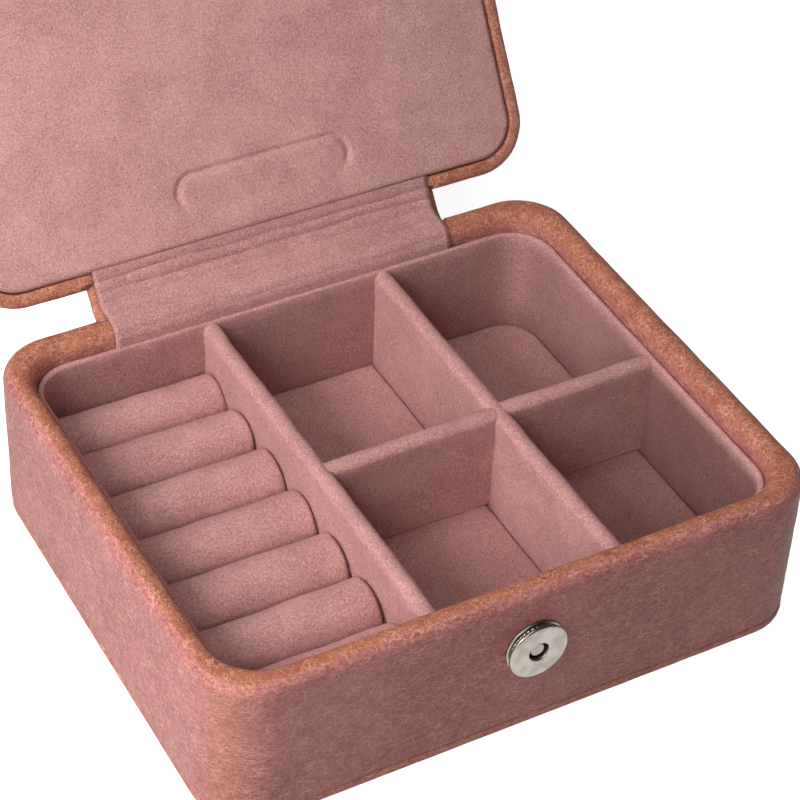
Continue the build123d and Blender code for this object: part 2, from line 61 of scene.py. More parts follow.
# ---- sizes of the soft covers ----
LEATHER = 1.2 * MM
SUEDE = 0.7 * MM
RIM_WIDTH = 6.2 * MM            # leather-wrapped wall, across its top
RIM_OUTER_ROUND = 2.6 * MM
RIM_INNER_ROUND = 3.4 * MM
TURN_IN = 7.5 * MM              # how far the leather turns down inside the wall
CASE_CORNER = 13.0 * MM         # plan radius of the case's corners
TRAY_CORNER = 10.5 * MM
TRAY_WALL = 1.5 * MM
LID_RIM_WIDTH = 3.4 * MM
LID_TOP_ROUND = 3.0 * MM
LID_RIM_ROUND = 1.5 * MM
LID_TURN_IN = 8.0 * MM
PAD_INSET = 3.65 * MM           # lid's side to the pad's edge
PAD_PROUD = 0.5 * MM
PAD_THICK = 4.0 * MM
SPINE_HALF = 45.0 * MM
SPINE_LINING_HALF = 43.4 * MM
SPINE_NOTCH_HALF = 45.3 * MM
SPINE_FOOT = 12.0 * MM
SPINE_LID_REACH = 10.0 * MM
BASE_CUT_HALF = 42.5 * MM       # where the leather is cut away under the spine's lining
LID_CUT_HALF = 43.0 * MM
TAB_HALF = 15.0 * MM
TAB_LEATHER = 1.3 * MM
TAB_LINING = 0.9 * MM
TAB_REST_ANGLE = 12.0
TAB_END_Z = 12.0 * MM
TAB_BEND_HALF = 2.5 * MM        # how far its bend reaches on each side of its pivot
STUD_FACE = 2.8 * MM            # the case's front to the stud's plate, and to the plate's back
STUD_BACK = 4.2 * MM
SUEDE_SHARP = math.radians(60)  # edges that turn by more than this are shaded sharp
METAL_SHARP = math.radians(50)
MARK_CENTRE = (3.0 * MM, 45.4 * MM)     # plain pressed outline on the lid's pad
MARK_HALF = (22.0 * MM, 4.4 * MM)

# ---- places read from the frame ----
BASE_LOW, BASE_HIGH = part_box("base_cover")
HALF_X = BASE_HIGH.x
HALF_Y = BASE_HIGH.y
RIM_Z = BASE_HIGH.z
FOOT_Z = BASE_LOW.z
TRAY_LOW, TRAY_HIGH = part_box("tray_lining")
TRAY_X = TRAY_HIGH.x
TRAY_Y = TRAY_HIGH.y
LIP_Z = TRAY_HIGH.z
TRAY_FLOOR = TRAY_LOW.z + SUEDE
JOINTS = {joint["name"]: joint for joint in frame["joints"]}
HINGE = Vector(JOINTS["lid_hinge"]["pos_m"])
OPEN_ANGLE = -JOINTS["lid_hinge"]["range_deg"][0]


def turn(point, degrees):
    """A turn about the line through a point, along X."""
    there = Matrix.Translation(point)
    return there @ Matrix.Rotation(math.radians(degrees), 4, "X") @ there.inverted()


OPENED = turn(HINGE, -OPEN_ANGLE)       # closed lid to the lid as it stands
TAB_PIVOT = OPENED.inverted() @ Vector(JOINTS["tab_flex"]["pos_m"])
RELEASED = turn(TAB_PIVOT, -TAB_REST_ANGLE)


def closed_box(node):
    """Lowest and highest corner of a lid node, with the lid closed."""
    back = np.array(OPENED.inverted())
    points = np.array([v.co for v in frame["nodes"][node].data.vertices])
    points = points @ back[:3, :3].T + back[:3, 3]
    return Vector(points.min(0)), Vector(points.max(0))


LID_LOW, LID_HIGH = closed_box("lid_cover")
LID_RIM_Z = LID_LOW.z
LID_TOP_Z = LID_HIGH.z
PAD_FACE_Z = LID_RIM_Z - PAD_PROUD
TAB_LOW_Y = -HALF_Y - STUD_BACK - TAB_LEATHER - TAB_LINING     # its outer face over the snap
TAB_TOP_Z = closed_box("tab_anchor")[1].z


# ---- mesh helpers ----
def link(name, mesh):
    """A new object in the scene, with smooth faces."""
    mesh.shade_smooth()
    obj = bpy.data.objects.new(name, mesh)
    bpy.context.scene.collection.objects.link(obj)
    return obj


def mesh_object(name, points, faces):
    """An object from points and faces, with points that coincide welded."""
    mesh = bpy.data.meshes.new(name)
    mesh.from_pydata([tuple(p) for p in points], [], faces)
    bm = bmesh.new()
    bm.from_mesh(mesh)
    bmesh.ops.remove_doubles(bm, verts=bm.verts, dist=0.001 * MM)
    bmesh.ops.dissolve_degenerate(bm, edges=bm.edges, dist=0.0005 * MM)
    bm.to_mesh(mesh)
    bm.free()
    return link(name, mesh)


def transform(obj, matrix):
    """Moves a mesh itself, so that its object stays at the origin."""
    obj.data.transform(matrix)
    obj.data.update()


def delete_faces(obj, test):
    """Deletes the faces whose middle passes the test, and what they leave loose."""
    bm = bmesh.new()
    bm.from_mesh(obj.data)
    gone = [f for f in bm.faces if test(f.calc_center_median())]
    bmesh.ops.delete(bm, geom=gone, context="FACES")
    bm.to_mesh(obj.data)
    bm.free()


def ripple(obj, height, size, seed, hold=None):
    """Moves each vertex along its normal by smooth noise of that height and size in millimetres,
    less where hold() says."""
    shift = Vector((seed * 7.1, seed * 3.3, seed * 5.7))
    moves = []
    for v in obj.data.vertices:
        share = 1.0 if hold is None else hold(v.co)
        moves.append(v.normal * (height * MM) * share * noise.noise(v.co / (size * MM) + shift))
    for v, move in zip(obj.data.vertices, moves):
        v.co += move
    obj.data.update()


def paint(obj, value, layer_name="wear"):
    """Stores a share, from 0 to 1, on each vertex: how worn the leather is, or how much painted
    shade darkens the suede."""
    layer = obj.data.attributes.new(layer_name, "FLOAT", "POINT")
    for v in obj.data.vertices:
        layer.data[v.index].value = value(v.co)


def close_mesh(obj, bm):
    """Writes a closed mesh back, with its faces outwards and its folds sharp."""
    bmesh.ops.recalc_face_normals(bm, faces=bm.faces)
    bm.to_mesh(obj.data)
    bm.free()
    obj.data.shade_smooth()
    obj.data.set_sharp_from_angle(angle=SUEDE_SHARP)


def thicken(obj, thickness):
    """Gives a sheet its thickness, on the side that its normals look away from."""
    solid = obj.modifiers.new("thickness", "SOLIDIFY")
    solid.thickness = thickness
    solid.offset = -1.0
    solid.use_even_offset = True


def smoothstep(low, high, value):
    """0 below low, 1 above high, and smooth between them."""
    share = min(1.0, max(0.0, (value - low) / (high - low)))
    return share * share * (3 - 2 * share)


def arc(inset, z, radius, start, end, steps):
    """Points of an arc in the plane of inset and height. 0 degrees points inwards."""
    angles = [math.radians(start + (end - start) * i / steps) for i in range(steps + 1)]
    return [(inset + radius * math.cos(a), z + radius * math.sin(a)) for a in angles]


def run(a, b, pitch):
    """Evenly spaced points between two points, without either of them."""
    count = max(1, round(math.dist(a, b) / pitch))
    return [tuple(x + (y - x) * i / count for x, y in zip(a, b)) for i in range(1, count)]


def stations(half, pitch, zones=(), marks=()):
    """Places along a side: evenly spaced, closer within a zone, and with the marks among them."""
    places = [-half]
    while places[-1] < half:
        step = min([pitch] + [p for low, high, p in zones if low <= places[-1] < high])
        places.append(places[-1] + step)
    places = [p * half / places[-1] if p > 0 else p for p in places]
    for mark in marks:
        nearest = min(range(1, len(places) - 1), key=lambda i: abs(places[i] - mark))
        places[nearest] = mark
    return places


def round_in(x, y, half_x, half_y, corner):
    """A point of a rectangle, moved inside the rectangle's rounded corners."""
    past_x = abs(x) - (half_x - corner)
    past_y = abs(y) - (half_y - corner)
    out = math.hypot(past_x, past_y)
    if past_x <= 0 or past_y <= 0 or out <= corner:
        return x, y
    back = 1 - corner / out
    return x - math.copysign(past_x * back, x), y - math.copysign(past_y * back, y)


class Outline:
    """A rounded rectangle, which a skin follows at any inset up to its corner radius."""

    def __init__(self, half_x, half_y, corner, pitch, zones=((), ()), marks=()):
        self.corner = corner
        self.pitch = pitch
        self.xs = stations(half_x - corner, pitch, zones[0], marks)
        self.ys = stations(half_y - corner, pitch, zones[1])
        turns = max(8, round(corner * math.pi / 2 / pitch))
        core_x, core_y = self.xs[-1], self.ys[-1]
        self.anchors = []
        self.normals = []
        sides = [
            ([(x, -core_y) for x in self.xs], -90),
            ([(core_x, y) for y in self.ys], 0),
            ([(x, core_y) for x in reversed(self.xs)], 90),
            ([(-core_x, y) for y in reversed(self.ys)], 180),
        ]
        for side, heading in sides:
            for place in side:
                self.anchors.append(place)
                self.normals.append(heading)
            for i in range(1, turns):
                self.anchors.append(side[-1])
                self.normals.append(heading + 90 * i / turns)

    def ring(self, inset, z, corner=None):
        """The outline's points at an inset and a height, with a rounder corner if one is given."""
        reach = self.corner - inset
        points = []
        for (x, y), heading in zip(self.anchors, self.normals):
            a = math.radians(heading)
            x += reach * math.cos(a)
            y += reach * math.sin(a)
            if corner is not None:
                x, y = round_in(x, y, self.xs[-1] + reach, self.ys[-1] + reach, corner)
            points.append((x, y, z))
        return points

    def to_core(self, inset, z):
        """The rings from an inset to the core rectangle."""
        return run((inset, z), (self.corner, z), self.pitch) + [(self.corner, z)]


def skin(name, outline, profile, flip=False, start_up=None, end_up=None):
    """A skin round an outline. profile lists insets and heights; start_up and end_up close it with
    a flat middle whose normal points up or down."""
    if start_up is not None:
        profile = outline.to_core(*profile[0])[::-1] + profile
    if end_up is not None:
        profile = profile + outline.to_core(*profile[-1])
    points = []
    for place in profile:
        points += outline.ring(*place)
    count = len(outline.anchors)
    faces = []
    for k in range(len(profile) - 1):
        for i in range(count):
            j = (i + 1) % count
            face = (k * count + i, (k + 1) * count + i, (k + 1) * count + j, k * count + j)
            faces.append(face[::-1] if flip else face)
    for up, (_, z, *_) in ((start_up, profile[0]), (end_up, profile[-1])):
        if up is None:
            continue
        first = len(points)
        rows = len(outline.ys)
        points += [(x, y, z) for x in outline.xs for y in outline.ys]
        for i in range(len(outline.xs) - 1):
            for j in range(rows - 1):
                corner = first + i * rows + j
                face = (corner, corner + rows, corner + rows + 1, corner + 1)
                faces.append(face if up else face[::-1])
    return mesh_object(name, points, faces)


def sheet_grid(name, rows):
    """A sheet from rows of points, all of one length. The normal is row direction x column."""
    count = len(rows[0])
    points = [p for row in rows for p in row]
    faces = []
    for k in range(len(rows) - 1):
        for i in range(count - 1):
            a = k * count + i
            faces.append((a, a + count, a + count + 1, a + 1))
    return mesh_object(name, points, faces)


def spline(points, pitch):
    """A smooth line through points in a plane, at about that spacing."""
    line = []
    for i in range(len(points) - 1):
        p0 = Vector(points[max(i - 1, 0)])
        p1 = Vector(points[i])
        p2 = Vector(points[i + 1])
        p3 = Vector(points[min(i + 2, len(points) - 1)])
        steps = max(1, round((p2 - p1).length / pitch))
        for k in range(steps):
            t = k / steps
            line.append(0.5 * (2 * p1 + (p2 - p0) * t + (2 * p0 - 5 * p1 + 4 * p2 - p3) * t ** 2
                               + (3 * p1 - p0 - 3 * p2 + p3) * t ** 3))
    return line + [Vector(points[-1])]


def line_normals(line):
    """The direction to the left of each point of a line in a plane."""
    found = []
    for i in range(len(line)):
        along = line[min(i + 1, len(line) - 1)] - line[max(i - 1, 0)]
        found.append(Vector((-along.y, along.x)).normalized())
    return found


def line_lengths(line):
    """How far along a line each of its points lies."""
    lengths = [0.0]
    for a, b in zip(line, line[1:]):
        lengths.append(lengths[-1] + (b - a).length)
    return lengths


def lathe(name, profile, centre, facing, steps=96, flutes=None):
    """A turned part. profile lists a radius and a distance behind the front; facing is the Y
    direction that the front looks in."""
    points = []
    for radius, depth in profile:
        for i in range(steps):
            a = 2 * math.pi * i / steps
            r = radius + (flutes(radius, depth, a) if flutes else 0.0)
            points.append((centre[0] + r * math.cos(a), centre[1] - facing * depth,
                           centre[2] + r * math.sin(a)))
    faces = []
    for k in range(len(profile) - 1):
        for i in range(steps):
            j = (i + 1) % steps
            face = (k * steps + i, (k + 1) * steps + i, (k + 1) * steps + j, k * steps + j)
            faces.append(face if facing > 0 else face[::-1])
    return mesh_object(name, points, faces)


# ---- material helpers ----
class Shade:
    """Builds one material. An input that is given a socket is linked, and any other is set."""

    def __init__(self, name):
        self.material = bpy.data.materials.new(name)
        self.material.use_nodes = True
        self.tree = self.material.node_tree
        self.bsdf = self.tree.nodes["Principled BSDF"]

    def node(self, kind, inputs=(), **settings):
        made = self.tree.nodes.new("ShaderNode" + kind)
        for key, value in settings.items():
            setattr(made, key, value)
        for key, value in dict(inputs).items():
            self.put(made.inputs[key], value)
        return made

    def put(self, socket, value):
        if isinstance(value, bpy.types.NodeSocket):
            self.tree.links.new(value, socket)
        else:
            socket.default_value = value

    def place(self):
        """The position in the case's frame, in millimetres."""
        return self.stretch(self.node("TexCoord").outputs["Object"], (1 / MM,) * 3)

    def noise(self, place, scale, detail=2.0, roughness=0.5):
        made = self.node("TexNoise", {"Vector": place, "Scale": scale, "Detail": detail,
                                      "Roughness": roughness})
        return made.outputs["Fac"]

    def stretch(self, place, factors):
        made = self.node("VectorMath", {0: place, 1: factors}, operation="MULTIPLY")
        return made.outputs[0]

    def warp(self, place, scale, amount):
        """The position pushed about by noise."""
        wander = self.node("TexNoise", {"Vector": place, "Scale": scale, "Detail": 2.0})
        centred = self.node("VectorMath", {0: wander.outputs["Color"], 1: (0.5, 0.5, 0.5)},
                            operation="SUBTRACT").outputs[0]
        pushed = self.stretch(centred, (amount,) * 3)
        return self.node("VectorMath", {0: place, 1: pushed}).outputs[0]

    def cracks(self, place, scale, width):
        """1 along the edges of irregular cells, and 0 inside them."""
        cells = self.node("TexVoronoi", {"Vector": place, "Scale": scale},
                          feature="DISTANCE_TO_EDGE")
        return self.range(cells.outputs["Distance"], 0.0, width, 1.0, 0.0)

    def range(self, value, low, high, to_low=0.0, to_high=1.0):
        made = self.node("MapRange", {"Value": value, "From Min": low, "From Max": high,
                                      "To Min": to_low, "To Max": to_high},
                         interpolation_type="SMOOTHSTEP")
        return made.outputs["Result"]

    def math(self, operation, a, b):
        return self.node("Math", {0: a, 1: b}, operation=operation).outputs[0]

    def times(self, a, b):
        return self.math("MULTIPLY", a, b)

    def mix(self, share, a, b, blend="MIX"):
        made = self.node("MixRGB", {"Fac": share, "Color1": a, "Color2": b}, blend_type=blend)
        return made.outputs["Color"]

    def layers(self, color, *layers):
        """Colours laid on, each as its noise goes from low to high, up to its share."""
        for value, low, high, share, over in layers:
            color = self.mix(self.range(value, low, high, 0.0, share), color, over)
        return color

    def bump(self, height, depth, strength):
        inputs = {"Height": height, "Distance": depth, "Strength": strength}
        return self.node("Bump", inputs).outputs["Normal"]

    def finish(self, color, roughness, normal=None, **constants):
        self.put(self.bsdf.inputs["Base Color"], color)
        self.put(self.bsdf.inputs["Roughness"], roughness)
        if normal is not None:
            self.put(self.bsdf.inputs["Normal"], normal)
        for key, value in constants.items():
            self.bsdf.inputs[key.replace("_", " ")].default_value = value
        return self.material


def rgb(red, green, blue):
    """A colour given as sRGB bytes."""
    linear = []
    for value in (red, green, blue):
        c = value / 255
        linear.append(c / 12.92 if c <= 0.04045 else ((c + 0.055) / 1.055) ** 2.4)
    return (*linear, 1.0)


# ---- materials ----
def leather_material():
    """Waxed pull-up leather: dusty rose, stippled with fine wrinkles that run level, peachy where
    it is stretched, and rubbed to orange tan along its folded edges."""
    s = Shade("waxed_leather")
    place = s.place()
    level = s.stretch(place, (0.55, 0.55, 1.45))
    flow = s.noise(s.warp(level, 0.35, 1.6), 1.25, 4.0, 0.72)
    fine = s.cracks(s.warp(level, 0.9, 1.2), 1.30, 0.13)
    wrinkles = s.cracks(s.warp(level, 0.45, 2.4), 0.60, 0.09)
    round_veins = s.cracks(s.warp(place, 0.5, 2.0), 0.62, 0.11)
    breaks = s.range(s.noise(place, 0.26, 3.0, 0.6), 0.40, 0.66)
    fine_breaks = s.range(s.noise(place, 0.55, 3.0, 0.6), 0.34, 0.62)
    grain = s.noise(place, 2.2, 4.0, 0.72)
    coarse = s.noise(place, 1.1, 3.0, 0.6)
    mottle = s.noise(place, 0.055, 3.0, 0.55)
    cloud = s.noise(place, 0.2, 4.0, 0.65)
    wear = s.node("Attribute", attribute_name="wear", attribute_type="GEOMETRY").outputs["Fac"]
    ragged = s.math("SUBTRACT", s.noise(place, 0.42, 5.0, 0.7), 0.5)
    uneven = s.math("ADD", wear, s.times(ragged, 0.8))
    rubbed = s.range(uneven, 0.50, 0.92)
    stretched = s.range(uneven, 0.05, 0.60, 0.0, 0.70)
    lines = s.times(fine, fine_breaks)
    veins = s.times(wrinkles, breaks)
    body = s.mix(s.range(mottle, 0.38, 0.62), rgb(152, 84, 80), rgb(172, 102, 98))
    body = s.mix(stretched, body, rgb(180, 116, 96))
    body = s.layers(
        body, (cloud, 0.35, 0.7, 0.30, rgb(134, 74, 70)),
        (flow, 0.50, 0.70, 0.60, rgb(206, 148, 138)), (flow, 0.50, 0.30, 0.60, rgb(108, 58, 56)),
        (grain, 0.50, 0.72, 0.50, rgb(204, 150, 140)), (grain, 0.50, 0.28, 0.50, rgb(100, 54, 52)))
    body = s.mix(s.times(lines, 0.55), body, rgb(214, 154, 138))
    body = s.mix(s.times(veins, 0.75), body, rgb(220, 160, 142))
    tan = s.mix(s.range(cloud, 0.3, 0.7), rgb(152, 86, 62), rgb(174, 108, 82))
    dark_tan = rgb(134, 68, 48)
    tan = s.layers(
        tan, (coarse, 0.50, 0.70, 0.35, rgb(206, 152, 126)), (coarse, 0.50, 0.30, 0.35, dark_tan),
        (grain, 0.50, 0.70, 0.70, rgb(214, 162, 136)), (grain, 0.50, 0.30, 0.60, dark_tan))
    tan = s.mix(s.times(s.times(round_veins, breaks), 0.6), tan, rgb(222, 174, 148))
    color = s.mix(rubbed, body, tan)
    creases = s.math("ADD", s.times(veins, 0.4), s.times(lines, 0.3))
    height = s.math("SUBTRACT", s.math("ADD", grain, flow), creases)
    roughness = s.range(grain, 0.2, 0.8, 0.62, 0.48)
    return s.finish(color, roughness, s.bump(height, 0.25 * MM, 0.6), Specular_IOR_Level=0.25)


def suede_material(name, light, dark):
    """Short brushed suede: pebbled, brushed into paler and darker patches, matt with a soft sheen,
    and darkened by painted shade where its mesh carries a share of it.
    """
    s = Shade(name)
    place = s.place()
    pebble = s.noise(place, 2.1, 3.0, 0.65)
    fibre = s.noise(place, 4.4, 2.0, 0.6)
    brushed = s.noise(s.warp(place, 0.12, 3.0), 0.085, 3.0, 0.5)
    strokes = s.noise(s.warp(place, 0.3, 1.5), 0.26, 4.0, 0.6)
    shade = s.math("ADD", s.range(brushed, 0.36, 0.64, 0.38, 0.58),
                   s.range(strokes, 0.35, 0.65, 0.0, 0.14))
    color = s.mix(shade, dark, light)
    hollow = rgb(112, 70, 67)
    color = s.layers(
        color, (pebble, 0.50, 0.72, 0.50, rgb(230, 190, 183)), (pebble, 0.50, 0.28, 0.50, hollow),
        (fibre, 0.50, 0.70, 0.45, rgb(228, 188, 181)), (fibre, 0.50, 0.30, 0.45, hollow))
    # painted shade: the suede is multiplied darker by the share of painted shade that its mesh
    # carries
    painted_shade = s.node("Attribute", attribute_name="painted_shade", attribute_type="GEOMETRY").outputs["Fac"]
    color = s.mix(painted_shade, color, rgb(126, 90, 96), "MULTIPLY")
    grain = s.math("ADD", pebble, s.times(fibre, 0.5))
    normal = s.bump(grain, 0.30 * MM, 0.75)
    roughness = s.range(pebble, 0.3, 0.7, 0.98, 0.86)
    return s.finish(color, roughness, normal, Specular_IOR_Level=0.1, Sheen_Weight=0.12,
                    Sheen_Roughness=0.5, Sheen_Tint=(0.95, 0.72, 0.68, 1.0))


def nickel_material():
    """Plated metal with a faint brushed haze and smudges."""
    s = Shade("satin_nickel")
    place = s.place()
    smudge = s.noise(place, 0.28, 3.0, 0.6)
    brushed = s.noise(s.stretch(place, (0.4, 1.0, 6.0)), 1.6, 2.0, 0.6)
    color = s.mix(s.range(smudge, 0.35, 0.65), rgb(128, 123, 115), rgb(152, 146, 138))
    rough = s.math("ADD", s.range(smudge, 0.3, 0.7, 0.20, 0.34),
                   s.times(brushed, 0.08))
    normal = s.bump(brushed, 0.02 * MM, 0.25)
    return s.finish(color, rough, normal, Metallic=1.0)


def board_material():
    """Grey board: pressed paper fibres."""
    s = Shade("grey_board")
    place = s.place()
    fibres = s.noise(s.stretch(place, (0.3, 1.0, 1.6)), 2.4, 4.0, 0.7)
    flecks = s.cracks(s.warp(place, 0.8, 1.0), 0.9, 0.06)
    color = s.mix(s.range(fibres, 0.3, 0.7), rgb(128, 118, 106), rgb(168, 158, 144))
    color = s.mix(s.times(flecks, 0.3), color, rgb(92, 84, 76))
    return s.finish(color, s.range(fibres, 0.3, 0.7, 0.95, 0.8), s.bump(fibres, 0.1 * MM, 0.4))


def foam_material():
    """Open-celled foam."""
    s = Shade("foam")
    place = s.place()
    cells = s.node("TexVoronoi", {"Vector": place, "Scale": 1.6}).outputs["Distance"]
    dust = s.noise(place, 3.0, 2.0)
    color = s.mix(s.range(cells, 0.1, 0.6), rgb(150, 128, 120), rgb(206, 184, 174))
    color = s.mix(s.range(dust, 0.4, 0.7, 0.0, 0.3), color, rgb(170, 146, 138))
    return s.finish(color, s.range(cells, 0.1, 0.6, 1.0, 0.9), s.bump(cells, 0.3 * MM, 0.6))


def magnet_material():
    """Sintered magnet under its thin plating."""
    s = Shade("magnet")
    place = s.place()
    speck = s.noise(place, 3.4, 3.0, 0.7)
    color = s.mix(s.range(speck, 0.35, 0.65), rgb(52, 50, 52), rgb(92, 90, 92))
    return s.finish(color, s.range(speck, 0.3, 0.7, 0.5, 0.35), s.bump(speck, 0.04 * MM, 0.4),
                    Metallic=0.8)


def floor_material():
    """A pale matt sweep."""
    s = Shade("pale_floor")
    place = s.place()
    grain = s.noise(place, 0.05, 3.0)
    color = s.mix(s.range(grain, 0.3, 0.7), rgb(250, 250, 250), rgb(254, 254, 254))
    return s.finish(color, s.range(grain, 0.3, 0.7, 0.8, 0.9), Specular_IOR_Level=0.1,
                    Emission_Color=(1.0, 1.0, 1.0, 1.0), Emission_Strength=0.85)


MATERIALS = {
    "leather": leather_material(),
    "suede": suede_material("suede", rgb(204, 152, 146), rgb(152, 101, 98)),
    # a lighter copy of the suede for the lid's pad: painted light, for the light that falls on the
    # pad
    "pad_suede_painted_lighter": suede_material("pad_suede_painted_lighter", rgb(216, 165, 158), rgb(164, 112, 108)),
    "nickel": nickel_material(),
    "board": board_material(),
    "foam": foam_material(),
    "magnet": magnet_material(),
}


def dress(obj, slot, material=None):
    """Gives a piece the material that slot names, or another one."""
    obj.data.materials.clear()
    obj.data.materials.append(MATERIALS[material or slot])


# ---- base: leather ----
def near_spine(half, y_from, z_from, z_to):
    """A test for what lies behind the spine."""
    def test(middle):
        return abs(middle.x) < half and middle.y > y_from and z_from < middle.z < z_to
    return test


def rim_profile():
    """Up the inside of the wall, over the rim and down the outside, with each place's corner."""
    inner_z = RIM_Z - RIM_INNER_ROUND
    outer_z = RIM_Z - RIM_OUTER_ROUND
    profile = [(RIM_WIDTH, RIM_Z - TURN_IN)]
    profile += run(profile[0], (RIM_WIDTH, inner_z), 1.2 * MM)
    profile += arc(RIM_WIDTH - RIM_INNER_ROUND, inner_z, RIM_INNER_ROUND, 0, 90, 9)
    profile += arc(RIM_OUTER_ROUND, outer_z, RIM_OUTER_ROUND, 90, 180, 8)
    foot_round = 0.9 * MM
    profile += run((0, outer_z), (0, FOOT_Z + foot_round), 1.6 * MM)
    profile += arc(foot_round, FOOT_Z + foot_round, foot_round, 180, 240, 4)
    inner_corner = TRAY_CORNER + 0.1 * MM
    return [(d, z, inner_corner + RIM_WIDTH - d if d > RIM_WIDTH / 2 else CASE_CORNER - d)
            for d, z in profile]


def base_wear(point):
    """Worn along the crest of the rim, and a little down the four corners."""
    corner_x = abs(point.x) - (HALF_X - CASE_CORNER)
    corner_y = abs(point.y) - (HALF_Y - CASE_CORNER)
    corner = 0.0
    inset = CASE_CORNER - max(corner_x, corner_y)
    if corner_x > 0 and corner_y > 0:
        corner = 0.52 * math.sin(2 * math.atan2(corner_y, corner_x))
        inset = CASE_CORNER - math.hypot(corner_x, corner_y)
    crest = smoothstep(0.5 * MM, 2.3 * MM, inset)
    crest *= smoothstep(RIM_Z - 5.0 * MM, RIM_Z - 1.5 * MM, point.z)
    foot = 0.25 * smoothstep(FOOT_Z + 3.0 * MM, FOOT_Z, point.z)
    return min(1.0, max(crest, corner, foot))


def base_leather():
    marks = [sign * half for sign in (-1, 1) for half in (SPINE_NOTCH_HALF, BASE_CUT_HALF)]
    outline = Outline(HALF_X, HALF_Y, CASE_CORNER, 1.7 * MM, marks=marks)
    obj = skin("base_leather", outline, rim_profile())
    ripple(obj, 0.10, 5, 1)
    ripple(obj, 0.22, 22, 2)
    cut_foot = SPINE_FOOT - 0.5 * MM
    cut_top = RIM_Z + 1 * MM
    delete_faces(obj, near_spine(SPINE_NOTCH_HALF, HALF_Y - 2.0 * MM, cut_foot, cut_top))
    delete_faces(obj, near_spine(BASE_CUT_HALF, TRAY_Y - 1 * MM, cut_foot, cut_top))
    thicken(obj, LEATHER)
    paint(obj, base_wear)
    dress(obj, "leather")
    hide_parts("base_cover")
    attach(obj, "base")


def bottom_leather():
    low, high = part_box("base_bottom_cover")
    edge = 0.8 * MM
    profile = arc(edge, low.z + edge, edge, 270, 180, 5)
    profile += run((0, low.z + edge), (0, high.z - edge), 0.5 * MM)
    profile += arc(edge, high.z - edge, edge, 180, 90, 5)
    outline = Outline(HALF_X, HALF_Y, CASE_CORNER, 2.5 * MM)
    obj = skin("bottom_leather", outline, profile, flip=True, start_up=False, end_up=True)
    ripple(obj, 0.05, 4, 3, lambda p: 0.0 if p.z < low.z + 0.1 * MM else 1.0)
    paint(obj, lambda p: 0.25 + 0.45 * smoothstep(high.z - 0.9 * MM, high.z, p.z))
    dress(obj, "leather")
    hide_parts("base_bottom_cover")
    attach(obj, "base")


# ---- base: suede tray, dividers and floors ----
def painted_tray_shade(point):
    """Painted shade on the tray's suede: darker on its right wall, more so towards the front, and a
    little along its back wall, below the lip."""
    right = smoothstep(TRAY_X - 6 * MM, TRAY_X - 2 * MM, point.x)
    right *= 0.36 + 0.34 * smoothstep(20 * MM, -15 * MM, point.y)
    behind = 0.22 * smoothstep(TRAY_Y - 6 * MM, TRAY_Y - 2 * MM, point.y)
    return max(right, behind) * smoothstep(LIP_Z - 0.5 * MM, LIP_Z - 4 * MM, point.z)


def tray_suede():
    """The suede that lines the tray: folded over its lip, down its walls and across its floor."""
    fold = TRAY_WALL * 0.48
    foot_round = 0.9 * MM
    hem = LIP_Z - 9 * MM
    profile = [(0, hem)]
    profile += run((0, hem), (0, LIP_Z - fold), 1.5 * MM)
    profile += arc(fold, LIP_Z - fold, fold, 180, 90, 5)
    profile += arc(TRAY_WALL - fold, LIP_Z - fold, fold, 90, 0, 5)
    profile += run((TRAY_WALL, LIP_Z - fold), (TRAY_WALL, TRAY_FLOOR + foot_round), 1.5 * MM)
    profile += [(TRAY_WALL, TRAY_FLOOR + foot_round)]
    profile += [(TRAY_WALL + 0.3 * foot_round, TRAY_FLOOR + 0.3 * foot_round)]
    profile += [(TRAY_WALL + foot_round, TRAY_FLOOR)]
    outline = Outline(TRAY_X, TRAY_Y, TRAY_CORNER, 1.6 * MM)
    obj = skin("tray_suede", outline, profile, flip=True, end_up=True)
    ripple(obj, 0.16, 6, 4, lambda p: smoothstep(hem, LIP_Z - 3 * MM, p.z))
    ripple(obj, 0.25, 18, 5, lambda p: smoothstep(LIP_Z, hem, p.z))
    thicken(obj, SUEDE * 0.8)
    # painted shade on the tray's right and back walls
    paint(obj, painted_tray_shade, "painted_shade")
    dress(obj, "suede")
    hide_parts("tray_lining")
    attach(obj, "base")


DIVIDER_LET_IN = 0.6 * MM       # how far its ends run into the suede beside them
DIVIDER_SWELL = 0.35 * MM       # how much the top bulges on each side


